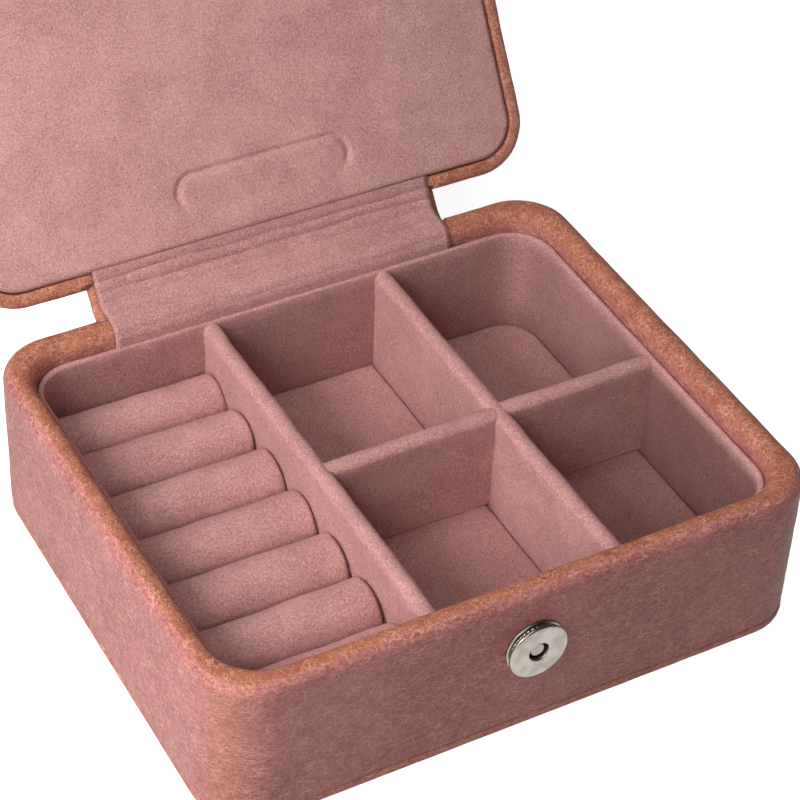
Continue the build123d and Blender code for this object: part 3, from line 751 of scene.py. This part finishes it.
def divider(name, along, seed):
    """A suede-covered board with a soft rounded top. along is the axis that it runs on."""
    low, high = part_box(f"{name}_cover")
    across = 1 - along
    half = (high[across] - low[across]) / 2
    middle = (high[across] + low[across]) / 2
    crown = half * 0.96
    section = [(-half, low.z)]
    section += run((-half, low.z), (-half, high.z - crown), 1.6 * MM)
    section += [(-x, z) for x, z in arc(half - crown, high.z - crown, crown, 0, 90, 6)]
    section += arc(half - crown, high.z - crown, crown, 90, 0, 6)
    section += run((half, high.z - crown), (half, low.z), 1.6 * MM)
    section += [(half, low.z)]
    start = low[along] - DIVIDER_LET_IN
    length = high[along] - low[along] + 2 * DIVIDER_LET_IN
    count = round(length / (1.3 * MM))
    rows = []
    for i in range(count + 1):
        at = start + length * i / count
        row = []
        for x, z in section:
            swell = 1 + DIVIDER_SWELL / half * smoothstep(high.z - 8 * MM, high.z - crown, z)
            point = [0.0, 0.0, z]
            point[along] = at
            point[across] = middle + x * swell
            row.append(tuple(point))
        rows.append(row)
    obj = sheet_grid(f"{name}_suede", rows)
    wide = len(section)
    bm = bmesh.new()
    bm.from_mesh(obj.data)
    bm.verts.ensure_lookup_table()
    bm.faces.new(bm.verts[:wide])
    bm.faces.new(bm.verts[-wide:])
    for i in range(count):
        near, far = i * wide, (i + 1) * wide
        bm.faces.new([bm.verts[k] for k in (near, near + wide - 1, far + wide - 1, far)])
    close_mesh(obj, bm)

    def from_end(point):
        return min(point[along] - low[along], high[along] - point[along])
    ripple(obj, 0.20, 7, seed, lambda p: 0.3 + 0.7 * smoothstep(0, 2 * MM, from_end(p)))
    sway = seed * 11.3
    for v in obj.data.vertices:
        share = smoothstep(0, 8 * MM, from_end(v.co))
        bend = noise.noise(Vector((v.co[along] / (28 * MM), sway, 0.0)))
        v.co[across] += 0.45 * MM * share * bend
        v.co.z += 0.30 * MM * share * smoothstep(low.z, high.z, v.co.z) * (
            noise.noise(Vector((v.co[along] / (19 * MM), sway, 5.0))) - 0.3)
    obj.data.update()
    dress(obj, "suede")
    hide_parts(f"{name}_cover", f"{name}_board")
    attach(obj, "base")


def floor_pad(place, seed):
    """A suede-covered card with soft edges, and a round corner where the tray has one."""
    low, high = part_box(f"floor_pad_{place}")
    gap = 0.18 * MM
    x0, x1 = low.x + gap, high.x - gap
    y0, y1 = low.y + gap, high.y - gap
    room_corner = TRAY_CORNER - TRAY_WALL
    rounded = high.x > TRAY_X - TRAY_WALL - 1 * MM
    back = high.y > 0
    centre_x = x1 - room_corner
    centre_out = (y1 if back else -y0) - room_corner
    edge = 0.9 * MM

    def places(a, b):
        """Places from a to b, closer together near both edges."""
        near = [s * MM for s in (0.0, 0.12, 0.3, 0.55, 0.9, 1.6, 2.6)]
        inner = run((a + near[-1],), (b - near[-1],), 1.8 * MM)
        return [a + s for s in near] + [p[0] for p in inner] + [b - s for s in reversed(near)]

    def corner_cut(y):
        """How much the round corner takes off the row's right end."""
        depth = (y if back else -y) - centre_out
        if not rounded or depth <= 0:
            return 0.0
        return room_corner - math.sqrt(max(0.0, room_corner ** 2 - depth ** 2))

    def from_edge(x, y):
        straight = min(x - x0, x1 - x, y - y0, y1 - y)
        past_x, past_y = x - centre_x, (y if back else -y) - centre_out
        if rounded and past_x > 0 and past_y > 0:
            return min(straight, room_corner - math.hypot(past_x, past_y))
        return straight

    columns = []
    for share_x in places(x0, x1):
        column = []
        for y in places(y0, y1):
            x = x0 + (share_x - x0) * (x1 - corner_cut(y) - x0) / (x1 - x0)
            depth = max(0.0, from_edge(x, y))
            round_off = edge - math.sqrt(max(0.0, edge ** 2 - max(0.0, edge - depth) ** 2))
            crown = 0.35 * MM * smoothstep(0, 9 * MM, depth)
            column.append((x, y, high.z - round_off + crown - 0.3 * MM))
        columns.append(column)
    obj = sheet_grid(f"floor_{place}_suede", columns)
    ripple(obj, 0.12, 6, seed)
    bm = bmesh.new()
    bm.from_mesh(obj.data)
    bmesh.ops.recalc_face_normals(bm, faces=bm.faces)
    made = bmesh.ops.extrude_face_region(bm, geom=bm.faces[:], use_keep_orig=True)
    for v in made["geom"]:
        if isinstance(v, bmesh.types.BMVert):
            v.co.z = low.z + 0.05 * MM
    close_mesh(obj, bm)
    # painted shade: the front floors darker, the front right one more
    painted_floor_shade = 0.0 if back else (0.38 if rounded else 0.2)
    paint(obj, lambda p: painted_floor_shade, "painted_shade")
    dress(obj, "suede")
    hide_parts(f"floor_pad_{place}")
    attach(obj, "base")


# ---- base: ring rolls ----
SIM_SCALE = 10.0                # the cloth is solved ten times larger than life
SIM_VOXEL = 8.5 * MM
SIM_FRAMES = 20
SIM_PRESSURE = 4.0
ROLL_TRAVEL = 0.9 * MM
ROLL_SHRINK = 0.25 * MM


def remesh(obj, voxel):
    """Evens out a closed mesh."""
    modifier = obj.modifiers.new("remesh", "REMESH")
    modifier.mode = "VOXEL"
    modifier.voxel_size = voxel
    evaluated = obj.evaluated_get(bpy.context.evaluated_depsgraph_get())
    mesh = bpy.data.meshes.new_from_object(evaluated)
    obj.modifiers.clear()
    obj.data = mesh
    mesh.shade_smooth()


def inflate(obj, pressure, travel):
    """Lets a closed cover swell under pressure, and keeps each point's travel within a cap."""
    cloth = obj.modifiers.new("cloth", "CLOTH")
    settings = cloth.settings
    settings.quality = 4
    settings.tension_stiffness = 12
    settings.compression_stiffness = 12
    settings.bending_stiffness = 0.4
    settings.use_pressure = True
    settings.uniform_pressure_force = pressure
    settings.effector_weights.gravity = 0
    cloth.point_cache.frame_start = 1
    cloth.point_cache.frame_end = SIM_FRAMES
    start = np.array([v.co for v in obj.data.vertices])
    for step in range(1, SIM_FRAMES + 1):
        bpy.context.scene.frame_set(step)
    evaluated = obj.evaluated_get(bpy.context.evaluated_depsgraph_get())
    end = np.array([v.co for v in evaluated.data.vertices])
    obj.modifiers.clear()
    bpy.context.scene.frame_set(1)
    move = end - start
    reach = np.linalg.norm(move, axis=1)
    move *= (np.minimum(reach, travel) / np.maximum(reach, 1e-9))[:, None]
    obj.data.vertices.foreach_set("co", (start + move).astype(np.float32).ravel())
    obj.data.update()


def roll_shape(low, high, number):
    """A round bar along X with slightly softened ends."""
    centre_y = (low.y + high.y) / 2
    centre_z = (low.z + high.z) / 2
    radius_y = (high.y - low.y) / 2 - ROLL_SHRINK
    radius_z = (high.z - low.z) / 2 - ROLL_SHRINK
    end_round = 0.7 * MM
    x0 = low.x + 0.05 * MM
    x1 = high.x - 0.05 * MM
    profile = [(0.0, x0), (0.45, x0), (0.8, x0)]
    profile += [(1 - end_round / radius_y * (1 - math.sin(a)), x0 + end_round * (1 - math.cos(a)))
                for a in (0.0, 0.5, 1.0, 1.4)]
    profile += [(1.0, x) for x, in run((x0 + end_round,), (x1 - end_round,), 2 * MM)]
    profile += [(s, x0 + x1 - x) for s, x in reversed(profile[:7])]
    steps = 40
    points = []
    for share, x in profile:
        for i in range(steps):
            a = 2 * math.pi * i / steps
            points.append((x, centre_y + share * radius_y * math.cos(a),
                           centre_z + share * radius_z * math.sin(a)))
    faces = []
    for k in range(len(profile) - 1):
        for i in range(steps):
            j = (i + 1) % steps
            faces.append((k * steps + i, k * steps + j, (k + 1) * steps + j, (k + 1) * steps + i))
    return mesh_object(f"ring_roll_{number}_cover", points, faces)


def fit_roll(obj, low, high):
    """Keeps a swollen roll inside its place, round at the tray's corners."""
    inset = TRAY_WALL + 0.15 * MM
    for v in obj.data.vertices:
        x = min(max(v.co.x, low.x), high.x)
        y = min(max(v.co.y, low.y - 0.1 * MM), high.y + 0.1 * MM)
        v.co.xy = round_in(x, y, TRAY_X - inset, TRAY_Y - inset, TRAY_CORNER - TRAY_WALL)
    obj.data.update()


def ring_roll(number):
    node = f"ring_roll_{number}"
    low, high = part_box(node)
    obj = roll_shape(low, high, number)
    centre = Vector(((low.x + high.x) / 2, (low.y + high.y) / 2, (low.z + high.z) / 2))
    ripple(obj, 0.35, 9, 20 + number)
    grow = Matrix.Scale(SIM_SCALE, 4) @ Matrix.Translation(-centre)
    transform(obj, grow)
    remesh(obj, SIM_VOXEL)
    inflate(obj, SIM_PRESSURE, ROLL_TRAVEL * SIM_SCALE)
    transform(obj, grow.inverted())
    fit_roll(obj, low, high)
    smooth = obj.modifiers.new("smooth", "SUBSURF")
    smooth.levels = 1
    smooth.render_levels = 1
    dress(obj, "suede")
    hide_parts(node, "ring_roll_cores")
    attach(obj, "base")


# ---- base: magnetic snap ----
def in_mm(*pairs):
    """A profile from a radius and a distance behind the front, in millimetres."""
    return [(radius * MM, depth * MM) for radius, depth in pairs]


def snap_socket():
    """The metal cap: a flat ring with a hole, a fluted neck and a wider foot on the leather."""
    low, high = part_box("snap_socket_cap")
    centre = (0.0, low.y, (low.z + high.z) / 2)
    disc = (high.z - low.z) / 2 / MM
    deep = (high.y - low.y) / MM
    hole = 2.3
    profile = in_mm(
        (0, 2.15), (hole - 0.2, 2.15), (hole, 2.0), (hole, 1.4), (hole, 0.8), (hole, 0.4),
        (hole + 0.08, 0.16), (hole + 0.25, 0.04), (hole + 0.5, 0), (3.4, 0), (4.2, 0), (5.0, 0),
        (5.6, 0), (6.1, 0), (disc - 0.45, 0.03), (disc - 0.2, 0.12), (disc - 0.05, 0.28),
        (disc, 0.5), (disc - 0.03, 0.75), (disc - 0.2, 0.92), (6.25, 1.0), (6.1, 1.12), (6.1, 1.5),
        (6.25, 1.66), (6.6, 1.74), (6.8, 1.86), (6.88, 2.05), (6.88, deep - 0.2), (6.7, deep),
        (0, deep))

    def flutes(radius, depth, angle):
        crimped = 0.9 * MM < depth < 1.8 * MM and radius < 6.5 * MM
        return 0.10 * MM * math.cos(36 * angle) if crimped else 0.0
    obj = lathe("snap_socket", profile, centre, -1, 216, flutes)
    obj.data.set_sharp_from_angle(angle=METAL_SHARP)
    dress(obj, "nickel")
    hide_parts("snap_socket_cap")
    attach(obj, "base")


def snap_rivet():
    """The rivet, with a low dished head that nearly fills the socket's hole."""
    low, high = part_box("snap_socket_rivet")
    raise_head = 1.0
    centre = (0.0, low.y - raise_head * MM, (low.z + high.z) / 2)
    radius = (high.z - low.z) / 2 / MM
    head = 1.75
    back = (high.y - low.y) / MM + raise_head
    profile = in_mm((0, 0.22), (0.6, 0.16), (1.1, 0.04), (1.4, 0), (head - 0.1, 0.12),
                    (head, 0.35), (head, 0.7), (radius, 0.9), (radius, back), (0, back))
    obj = lathe("snap_rivet", profile, centre, -1, 48)
    obj.data.set_sharp_from_angle(angle=METAL_SHARP)
    dress(obj, "nickel")
    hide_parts("snap_socket_rivet")
    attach(obj, "base")


# ---- spine ----
def on_lid(y, z):
    """Where a point of the closed lid's section comes to in the open lid, in Y and Z."""
    moved = OPENED @ Vector((0.0, y, z))
    return (moved.y, moved.z)


def spine_leather():
    """The outer leather: up the back wall, across the gap, and down the lid's back wall."""
    face = HALF_Y - 0.1 * MM
    points = [
        (face, SPINE_FOOT), (face, RIM_Z - 14 * MM), (face, RIM_Z - 4.2 * MM),
        (HALF_Y + 1.15 * MM, RIM_Z - 2.25 * MM), (HALF_Y + 2.95 * MM, RIM_Z - 0.9 * MM),
        (HALF_Y + 4.85 * MM, RIM_Z + 1.4 * MM), on_lid(face, LID_RIM_Z + 2.4 * MM),
        on_lid(face, LID_RIM_Z + 6 * MM), on_lid(face, LID_RIM_Z + SPINE_LID_REACH),
    ]
    line = spline(points, 0.6 * MM)
    xs = stations(SPINE_HALF, 1.5 * MM)
    obj = sheet_grid("spine_leather_strap", [[(x, p.x, p.y) for x in xs] for p in line])
    ripple(obj, 0.08, 6, 31)
    thicken(obj, 1.0 * MM)
    bend_low = HALF_Y + 0.4 * MM

    def wear(point):
        return 0.75 * smoothstep(bend_low - 0.5 * MM, bend_low + 1.2 * MM, point.y) * (
            1.0 - 0.6 * smoothstep(8 * MM, 16 * MM, point.y - HALF_Y))
    paint(obj, wear)
    dress(obj, "leather")
    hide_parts("spine_leather")
    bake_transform(obj)


SPINE_CREASES = [               # share of the free length, depth and half width of each crease
    (-0.34, 0.28 * MM, 0.70 * MM), (-0.06, 0.30 * MM, 0.80 * MM), (0.36, 0.62 * MM, 1.00 * MM),
    (0.58, 0.42 * MM, 0.75 * MM), (0.79, 0.62 * MM, 0.85 * MM),
]


def spine_lining():
    """The suede lining: over the base's rim, creased across the gap, and up to the lid's pad."""
    proud = 0.08 * MM
    inner_y = HALF_Y - RIM_WIDTH - 0.05 * MM
    crown_y = HALF_Y - RIM_WIDTH + RIM_INNER_ROUND
    outer_y = HALF_Y - 2.2 * MM
    rim = [(inner_y, RIM_Z - 6.5 * MM), (inner_y, RIM_Z - 3.6 * MM)]
    for i in range(1, 6):
        a = math.radians(18 * i)
        rim.append((crown_y - (RIM_INNER_ROUND + proud * math.sin(a)) * math.cos(a),
                    RIM_Z - RIM_INNER_ROUND + (RIM_INNER_ROUND + proud) * math.sin(a)))
    rim.append((outer_y, RIM_Z + proud * 0.8))
    gap = [
        (HALF_Y + 0.1 * MM, RIM_Z + 0.1 * MM), (HALF_Y + 2.0 * MM, RIM_Z + 1.0 * MM),
        (HALF_Y + 3.9 * MM, RIM_Z + 2.9 * MM), on_lid(HALF_Y - 0.6 * MM, LID_RIM_Z + 0.1 * MM),
        on_lid(HALF_Y - LID_RIM_WIDTH - 0.5 * MM, LID_RIM_Z + 0.1 * MM),
    ]
    line = spline(rim + gap, 0.28 * MM)
    sides = line_normals(line)
    along = line_lengths(line)
    first = next(i for i, p in enumerate(line) if p.x > outer_y)
    free = along[-1] - along[first]
    xs = stations(SPINE_LINING_HALF, 1.1 * MM)
    rows = []
    for p, side, s in zip(line, sides, along):
        share = (s - along[first]) / free
        row = []
        for x in xs:
            sink = 0.0
            for number, (at, depth, width) in enumerate(SPINE_CREASES):
                drift = 0.05 * noise.noise(Vector((x / (17 * MM), number * 4.7, 0.0)))
                fade = 0.75 + 0.5 * noise.noise(Vector((x / (11 * MM), number * 2.9, 8.0)))
                off = (share - at - drift) * free / width
                sink += depth * fade * math.exp(-off * off)
            row.append((x, p.x - side.x * sink, p.y - side.y * sink))
        rows.append(row)
    obj = sheet_grid("spine_suede", rows)
    ripple(obj, 0.10, 3.5, 33)
    thicken(obj, 0.8 * MM)
    dress(obj, "suede")
    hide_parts("spine_lining")
    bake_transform(obj)


# ---- lid ----
def lid_wear(point):
    """Worn round the rim, less on the right, and a little along the top's edge. The point is on
    the closed lid."""
    rim = smoothstep(LID_RIM_Z + 3.6 * MM, LID_RIM_Z + 1.2 * MM, point.z)
    rim *= 1 - 0.25 * smoothstep(50 * MM, 68 * MM, point.x)
    inset = min(HALF_X - abs(point.x), HALF_Y - abs(point.y))
    fold = 0.45 * smoothstep(LID_TOP_Z - 3.5 * MM, LID_TOP_Z - 1.0 * MM, point.z)
    fold *= smoothstep(6 * MM, 1.5 * MM, inset)
    return max(rim, fold)


def lid_leather():
    inner = 0.9 * MM
    profile = [(LID_RIM_WIDTH, LID_RIM_Z + LID_TURN_IN)]
    profile += run(profile[0], (LID_RIM_WIDTH, LID_RIM_Z + inner), 1.2 * MM)
    profile += arc(LID_RIM_WIDTH - inner, LID_RIM_Z + inner, inner, 0, -90, 5)
    profile += arc(LID_RIM_ROUND, LID_RIM_Z + LID_RIM_ROUND, LID_RIM_ROUND, 270, 180, 6)
    profile += run((0, LID_RIM_Z + LID_RIM_ROUND), (0, LID_TOP_Z - LID_TOP_ROUND), 1.5 * MM)
    profile += arc(LID_TOP_ROUND, LID_TOP_Z - LID_TOP_ROUND, LID_TOP_ROUND, 180, 90, 8)
    marks = [sign * half for sign in (-1, 1) for half in (SPINE_NOTCH_HALF, LID_CUT_HALF)]
    outline = Outline(HALF_X, HALF_Y, CASE_CORNER, 1.8 * MM, marks=marks)
    obj = skin("lid_leather", outline, profile, flip=True, end_up=True)
    ripple(obj, 0.10, 5, 41)
    ripple(obj, 0.22, 24, 42, lambda p: 1.0 if p.z < LID_TOP_Z - 0.5 * MM else 0.6)
    below = LID_RIM_Z - 1 * MM
    delete_faces(obj, near_spine(SPINE_NOTCH_HALF, HALF_Y - 1.0 * MM, below,
                                 LID_RIM_Z + SPINE_LID_REACH + 0.5 * MM))
    delete_faces(obj, near_spine(LID_CUT_HALF, HALF_Y - LID_RIM_WIDTH - 0.2 * MM, below,
                                 LID_RIM_Z + 1.0 * MM))
    thicken(obj, LEATHER)
    paint(obj, lid_wear)
    transform(obj, OPENED)
    dress(obj, "leather")
    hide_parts("lid_cover")
    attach(obj, "lid")


def stadium_distance(x, y):
    """Distance outside the mark's outline, negative inside it."""
    straight = MARK_HALF[0] - MARK_HALF[1]
    dx = max(0.0, abs(x - MARK_CENTRE[0]) - straight)
    return math.hypot(dx, y - MARK_CENTRE[1]) - MARK_HALF[1]


def lid_pad():
    """The padded suede that fills the lid, with a plain outline pressed into it."""
    corner = CASE_CORNER - PAD_INSET
    edge = 1.5 * MM
    back = PAD_FACE_Z + PAD_THICK
    zones = [[(middle - half - 2 * MM, middle + half + 2 * MM, pitch)]
             for middle, half, pitch in zip(MARK_CENTRE, MARK_HALF, (0.5 * MM, 0.4 * MM))]
    half_x = HALF_X - PAD_INSET
    half_y = HALF_Y - PAD_INSET
    outline = Outline(half_x, half_y, corner, 1.7 * MM, zones=zones)
    profile = [(0.0, back)]
    profile += run((0.0, back), (0.0, PAD_FACE_Z + edge), 0.9 * MM)
    profile += arc(edge, PAD_FACE_Z + edge, edge, 180, 270, 7)
    obj = skin("lid_pad_suede", outline, profile, end_up=False)
    for v in obj.data.vertices:
        if v.co.z > PAD_FACE_Z + 0.2 * MM:
            continue
        inset = min(half_x - abs(v.co.x), half_y - abs(v.co.y))
        swell = 0.55 * MM * smoothstep(3.0 * MM, 16 * MM, inset)
        line = stadium_distance(v.co.x, v.co.y) / (0.75 * MM)
        pressed = 0.62 * MM * math.exp(-line * line)
        v.co.z -= swell - pressed
    ripple(obj, 0.10, 8, 45)
    ripple(obj, 0.20, 30, 46)
    thicken(obj, SUEDE * 0.6)
    transform(obj, OPENED)
    # the pad gets the lighter copy of the suede, which is painted light
    dress(obj, "suede", "pad_suede_painted_lighter")
    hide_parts("lid_pad_cover")
    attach(obj, "lid")


# ---- closing tab ----
def tab_points(shift):
    """The tab's outer face when fastened, from its glued top to its tongue, as Y and Z. shift
    moves it towards the case."""
    wall_y = -HALF_Y - TAB_LEATHER - TAB_LINING + shift
    low_y = TAB_LOW_Y + shift
    pivot_z = TAB_PIVOT.z
    return [
        (wall_y, TAB_TOP_Z), (wall_y, pivot_z + 5 * MM), (wall_y, pivot_z + 1.5 * MM),
        (wall_y - 0.3 * MM, pivot_z - 2.4 * MM), (wall_y - 2.2 * MM, pivot_z - 6.0 * MM),
        (low_y + 0.15 * MM, pivot_z - 10.0 * MM), (low_y, pivot_z - 14 * MM),
        (low_y, TAB_END_Z + 5 * MM), (low_y, TAB_END_Z),
    ]


def swing(obj):
    """Springs the fastened tab out to its rest, and opens it with the lid."""
    for v in obj.data.vertices:
        share = smoothstep(TAB_PIVOT.z + TAB_BEND_HALF, TAB_PIVOT.z - TAB_BEND_HALF, v.co.z)
        v.co = OPENED @ (turn(TAB_PIVOT, -TAB_REST_ANGLE * share) @ v.co)
    obj.data.update()


def tab_strip(name, line, half, end_round, start_round):
    """A strip along a line in Y and Z, rounded at its ends."""
    along = line_lengths(line)
    rows = []
    for p, s in zip(line, along):
        left = along[-1] - s
        width = half
        if left < end_round:
            width = half - end_round + math.sqrt(max(0.0, end_round ** 2 - (end_round - left) ** 2))
        if s < start_round:
            reach = start_round ** 2 - (start_round - s) ** 2
            width = half - start_round + math.sqrt(max(0.0, reach))
        rows.append([(width * (i / 12 - 1), p.x, p.y) for i in range(25)])
    return sheet_grid(name, rows)


def closing_tab_leather():
    line = spline(tab_points(0.0), 0.7 * MM)
    obj = tab_strip("tab_strap", line, TAB_HALF, 12 * MM, 3 * MM)
    ripple(obj, 0.06, 5, 51)
    thicken(obj, TAB_LEATHER)
    edge_z = TAB_END_Z + 1.6 * MM

    def wear(point):
        rim = smoothstep(TAB_HALF - 2.2 * MM, TAB_HALF - 0.4 * MM, abs(point.x))
        bend = 0.5 * smoothstep(6 * MM, 1 * MM, abs(point.z - TAB_PIVOT.z))
        tip = smoothstep(edge_z + 1.5 * MM, edge_z - 1 * MM, point.z)
        return 0.8 * max(rim, bend, tip)
    paint(obj, wear)
    swing(obj)
    dress(obj, "leather")
    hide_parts("tab_leather", "tab_anchor")
    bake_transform(obj)


def closing_tab_lining():
    inner = [p for p in tab_points(TAB_LEATHER + 0.02 * MM) if p[1] < TAB_PIVOT.z]
    points = [(y, max(z, TAB_END_Z + 1.0 * MM)) for y, z in inner]
    line = spline(points, 0.7 * MM)
    obj = tab_strip("tab_suede", line, TAB_HALF - 1.0 * MM, 11 * MM, 0.01 * MM)
    ripple(obj, 0.05, 4, 52)
    thicken(obj, TAB_LINING)
    swing(obj)
    dress(obj, "suede")
    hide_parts("tab_lining")
    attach(obj, "closing_tab")


def snap_stud():
    """The tab's half of the snap: a thin disc with a low stud, which stops short of the rivet."""
    low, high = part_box("snap_socket_cap")
    disc = 6.7
    stud = 0.75
    back = stud + (STUD_BACK - STUD_FACE) / MM
    profile = in_mm(
        (0, 0), (1.3, 0), (1.65, 0.08), (1.84, 0.25), (1.9, stud - 0.2), (2.1, stud - 0.02),
        (2.6, stud), (3.6, stud), (4.6, stud), (5.6, stud), (6.1, stud),
        (disc - 0.25, stud + 0.06), (disc - 0.06, stud + 0.25), (disc, stud + 0.55),
        (disc, back - 0.1), (0, back))
    front = (0.0, -HALF_Y - STUD_FACE + stud * MM, (low.z + high.z) / 2)
    obj = lathe("snap_stud", profile, front, 1, 96)
    obj.data.set_sharp_from_angle(angle=METAL_SHARP)
    transform(obj, OPENED @ RELEASED)
    dress(obj, "nickel")
    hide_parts("snap_stud_plate")
    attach(obj, "closing_tab")


# ---- everything together ----
def dress_cad_nodes():
    """Finishes for the CAD nodes that stay: boards, cards, foam and hidden metal."""
    finishes = {
        "board": ["base_bottom_board", "base_wall_board", "tray_card", "floor_cards",
                  "lid_wall_board", "lid_top_board", "lid_pad_board"],
        "foam": ["lid_filler", "base_rim_bead", "ring_roll_bed", "lid_pad_foam"],
        "magnet": ["snap_socket_magnet"],
        "nickel": ["snap_socket_washer", "snap_stud_washer"],
    }
    for material, names in finishes.items():
        for name in names:
            node = frame["nodes"][name]
            node.data.materials.clear()
            node.data.materials.append(MATERIALS[material])


def build_case():
    base_leather()
    bottom_leather()
    tray_suede()
    dividers = [("ring_divider", 1), ("centre_divider", 1),
                ("cross_divider_left", 0), ("cross_divider_right", 0)]
    for seed, (name, along) in enumerate(dividers, start=6):
        divider(name, along, seed)
    for seed, place in enumerate(["back_left", "back_right", "front_left", "front_right"], 10):
        floor_pad(place, seed)
    for number in range(1, 8):
        ring_roll(number)
    snap_socket()
    snap_rivet()
    lid_leather()
    lid_pad()
    spine_leather()
    spine_lining()
    closing_tab_leather()
    closing_tab_lining()
    snap_stud()
    dress_cad_nodes()


LIGHTS = [                      # name, place, size and power in watts
    ("key", (-0.36, -0.02, 0.32), 0.17, 1.36), ("side", (-0.27, -0.12, 0.17), 0.2, 0.42),
    ("top", (-0.22, 0.0, 1.0), 0.4, 2.3), ("front", (-0.36, -0.55, 0.52), 0.3, 2.1),
]
LIGHT_AIM = Vector((0, 0, 0.03))
WORLD_STRENGTH = 0.09
FLOOR_HALF = 6.0
CAMERA_PLACE = Vector((-0.22079, -0.37739, 0.41917))
CAMERA_AIM = Vector((0.00464, 0.00728, 0.0369))
CAMERA_ROLL = 2.9
CAMERA_LENS = 118.8


def aimed(name, data, place, aim, roll=0.0):
    """Puts a light or a camera in its place and turns it to what it looks at."""
    obj = bpy.data.objects.new(name, data)
    obj.location = place
    obj.rotation_mode = "QUATERNION"
    obj.rotation_quaternion = (aim - Vector(place)).to_track_quat("-Z", "Y")
    if roll:
        obj.rotation_quaternion @= Quaternion((0, 0, 1), math.radians(roll))
    bpy.context.scene.collection.objects.link(obj)
    return obj


def studio():
    """The pale floor, the soft lights, and the camera."""
    mesh = bpy.data.meshes.new("floor")
    signs = [(-1, -1), (1, -1), (1, 1), (-1, 1)]
    mesh.from_pydata([(x * FLOOR_HALF, y * FLOOR_HALF, 0) for x, y in signs], [], [(0, 1, 2, 3)])
    floor = bpy.data.objects.new("floor", mesh)
    bpy.context.scene.collection.objects.link(floor)
    mesh.materials.append(floor_material())
    floor.visible_diffuse = False
    world = bpy.data.worlds.new("studio")
    world.use_nodes = True
    background = world.node_tree.nodes["Background"]
    background.inputs["Color"].default_value = (1.0, 1.0, 1.0, 1.0)
    background.inputs["Strength"].default_value = WORLD_STRENGTH
    bpy.context.scene.world = world
    for name, place, size, power in LIGHTS:
        light = bpy.data.lights.new(name, "AREA")
        light.shape = "SQUARE"
        light.size = size
        light.energy = power
        aimed(name, light, place, LIGHT_AIM)
    lens = bpy.data.cameras.new("camera")
    lens.lens = CAMERA_LENS
    lens.sensor_width = 36.0
    lens.clip_start = 0.02
    lens.clip_end = 50.0
    bpy.context.scene.camera = aimed("camera", lens, CAMERA_PLACE, CAMERA_AIM, CAMERA_ROLL)
    bpy.context.scene.view_settings.view_transform = "Standard"


build_case()
studio()
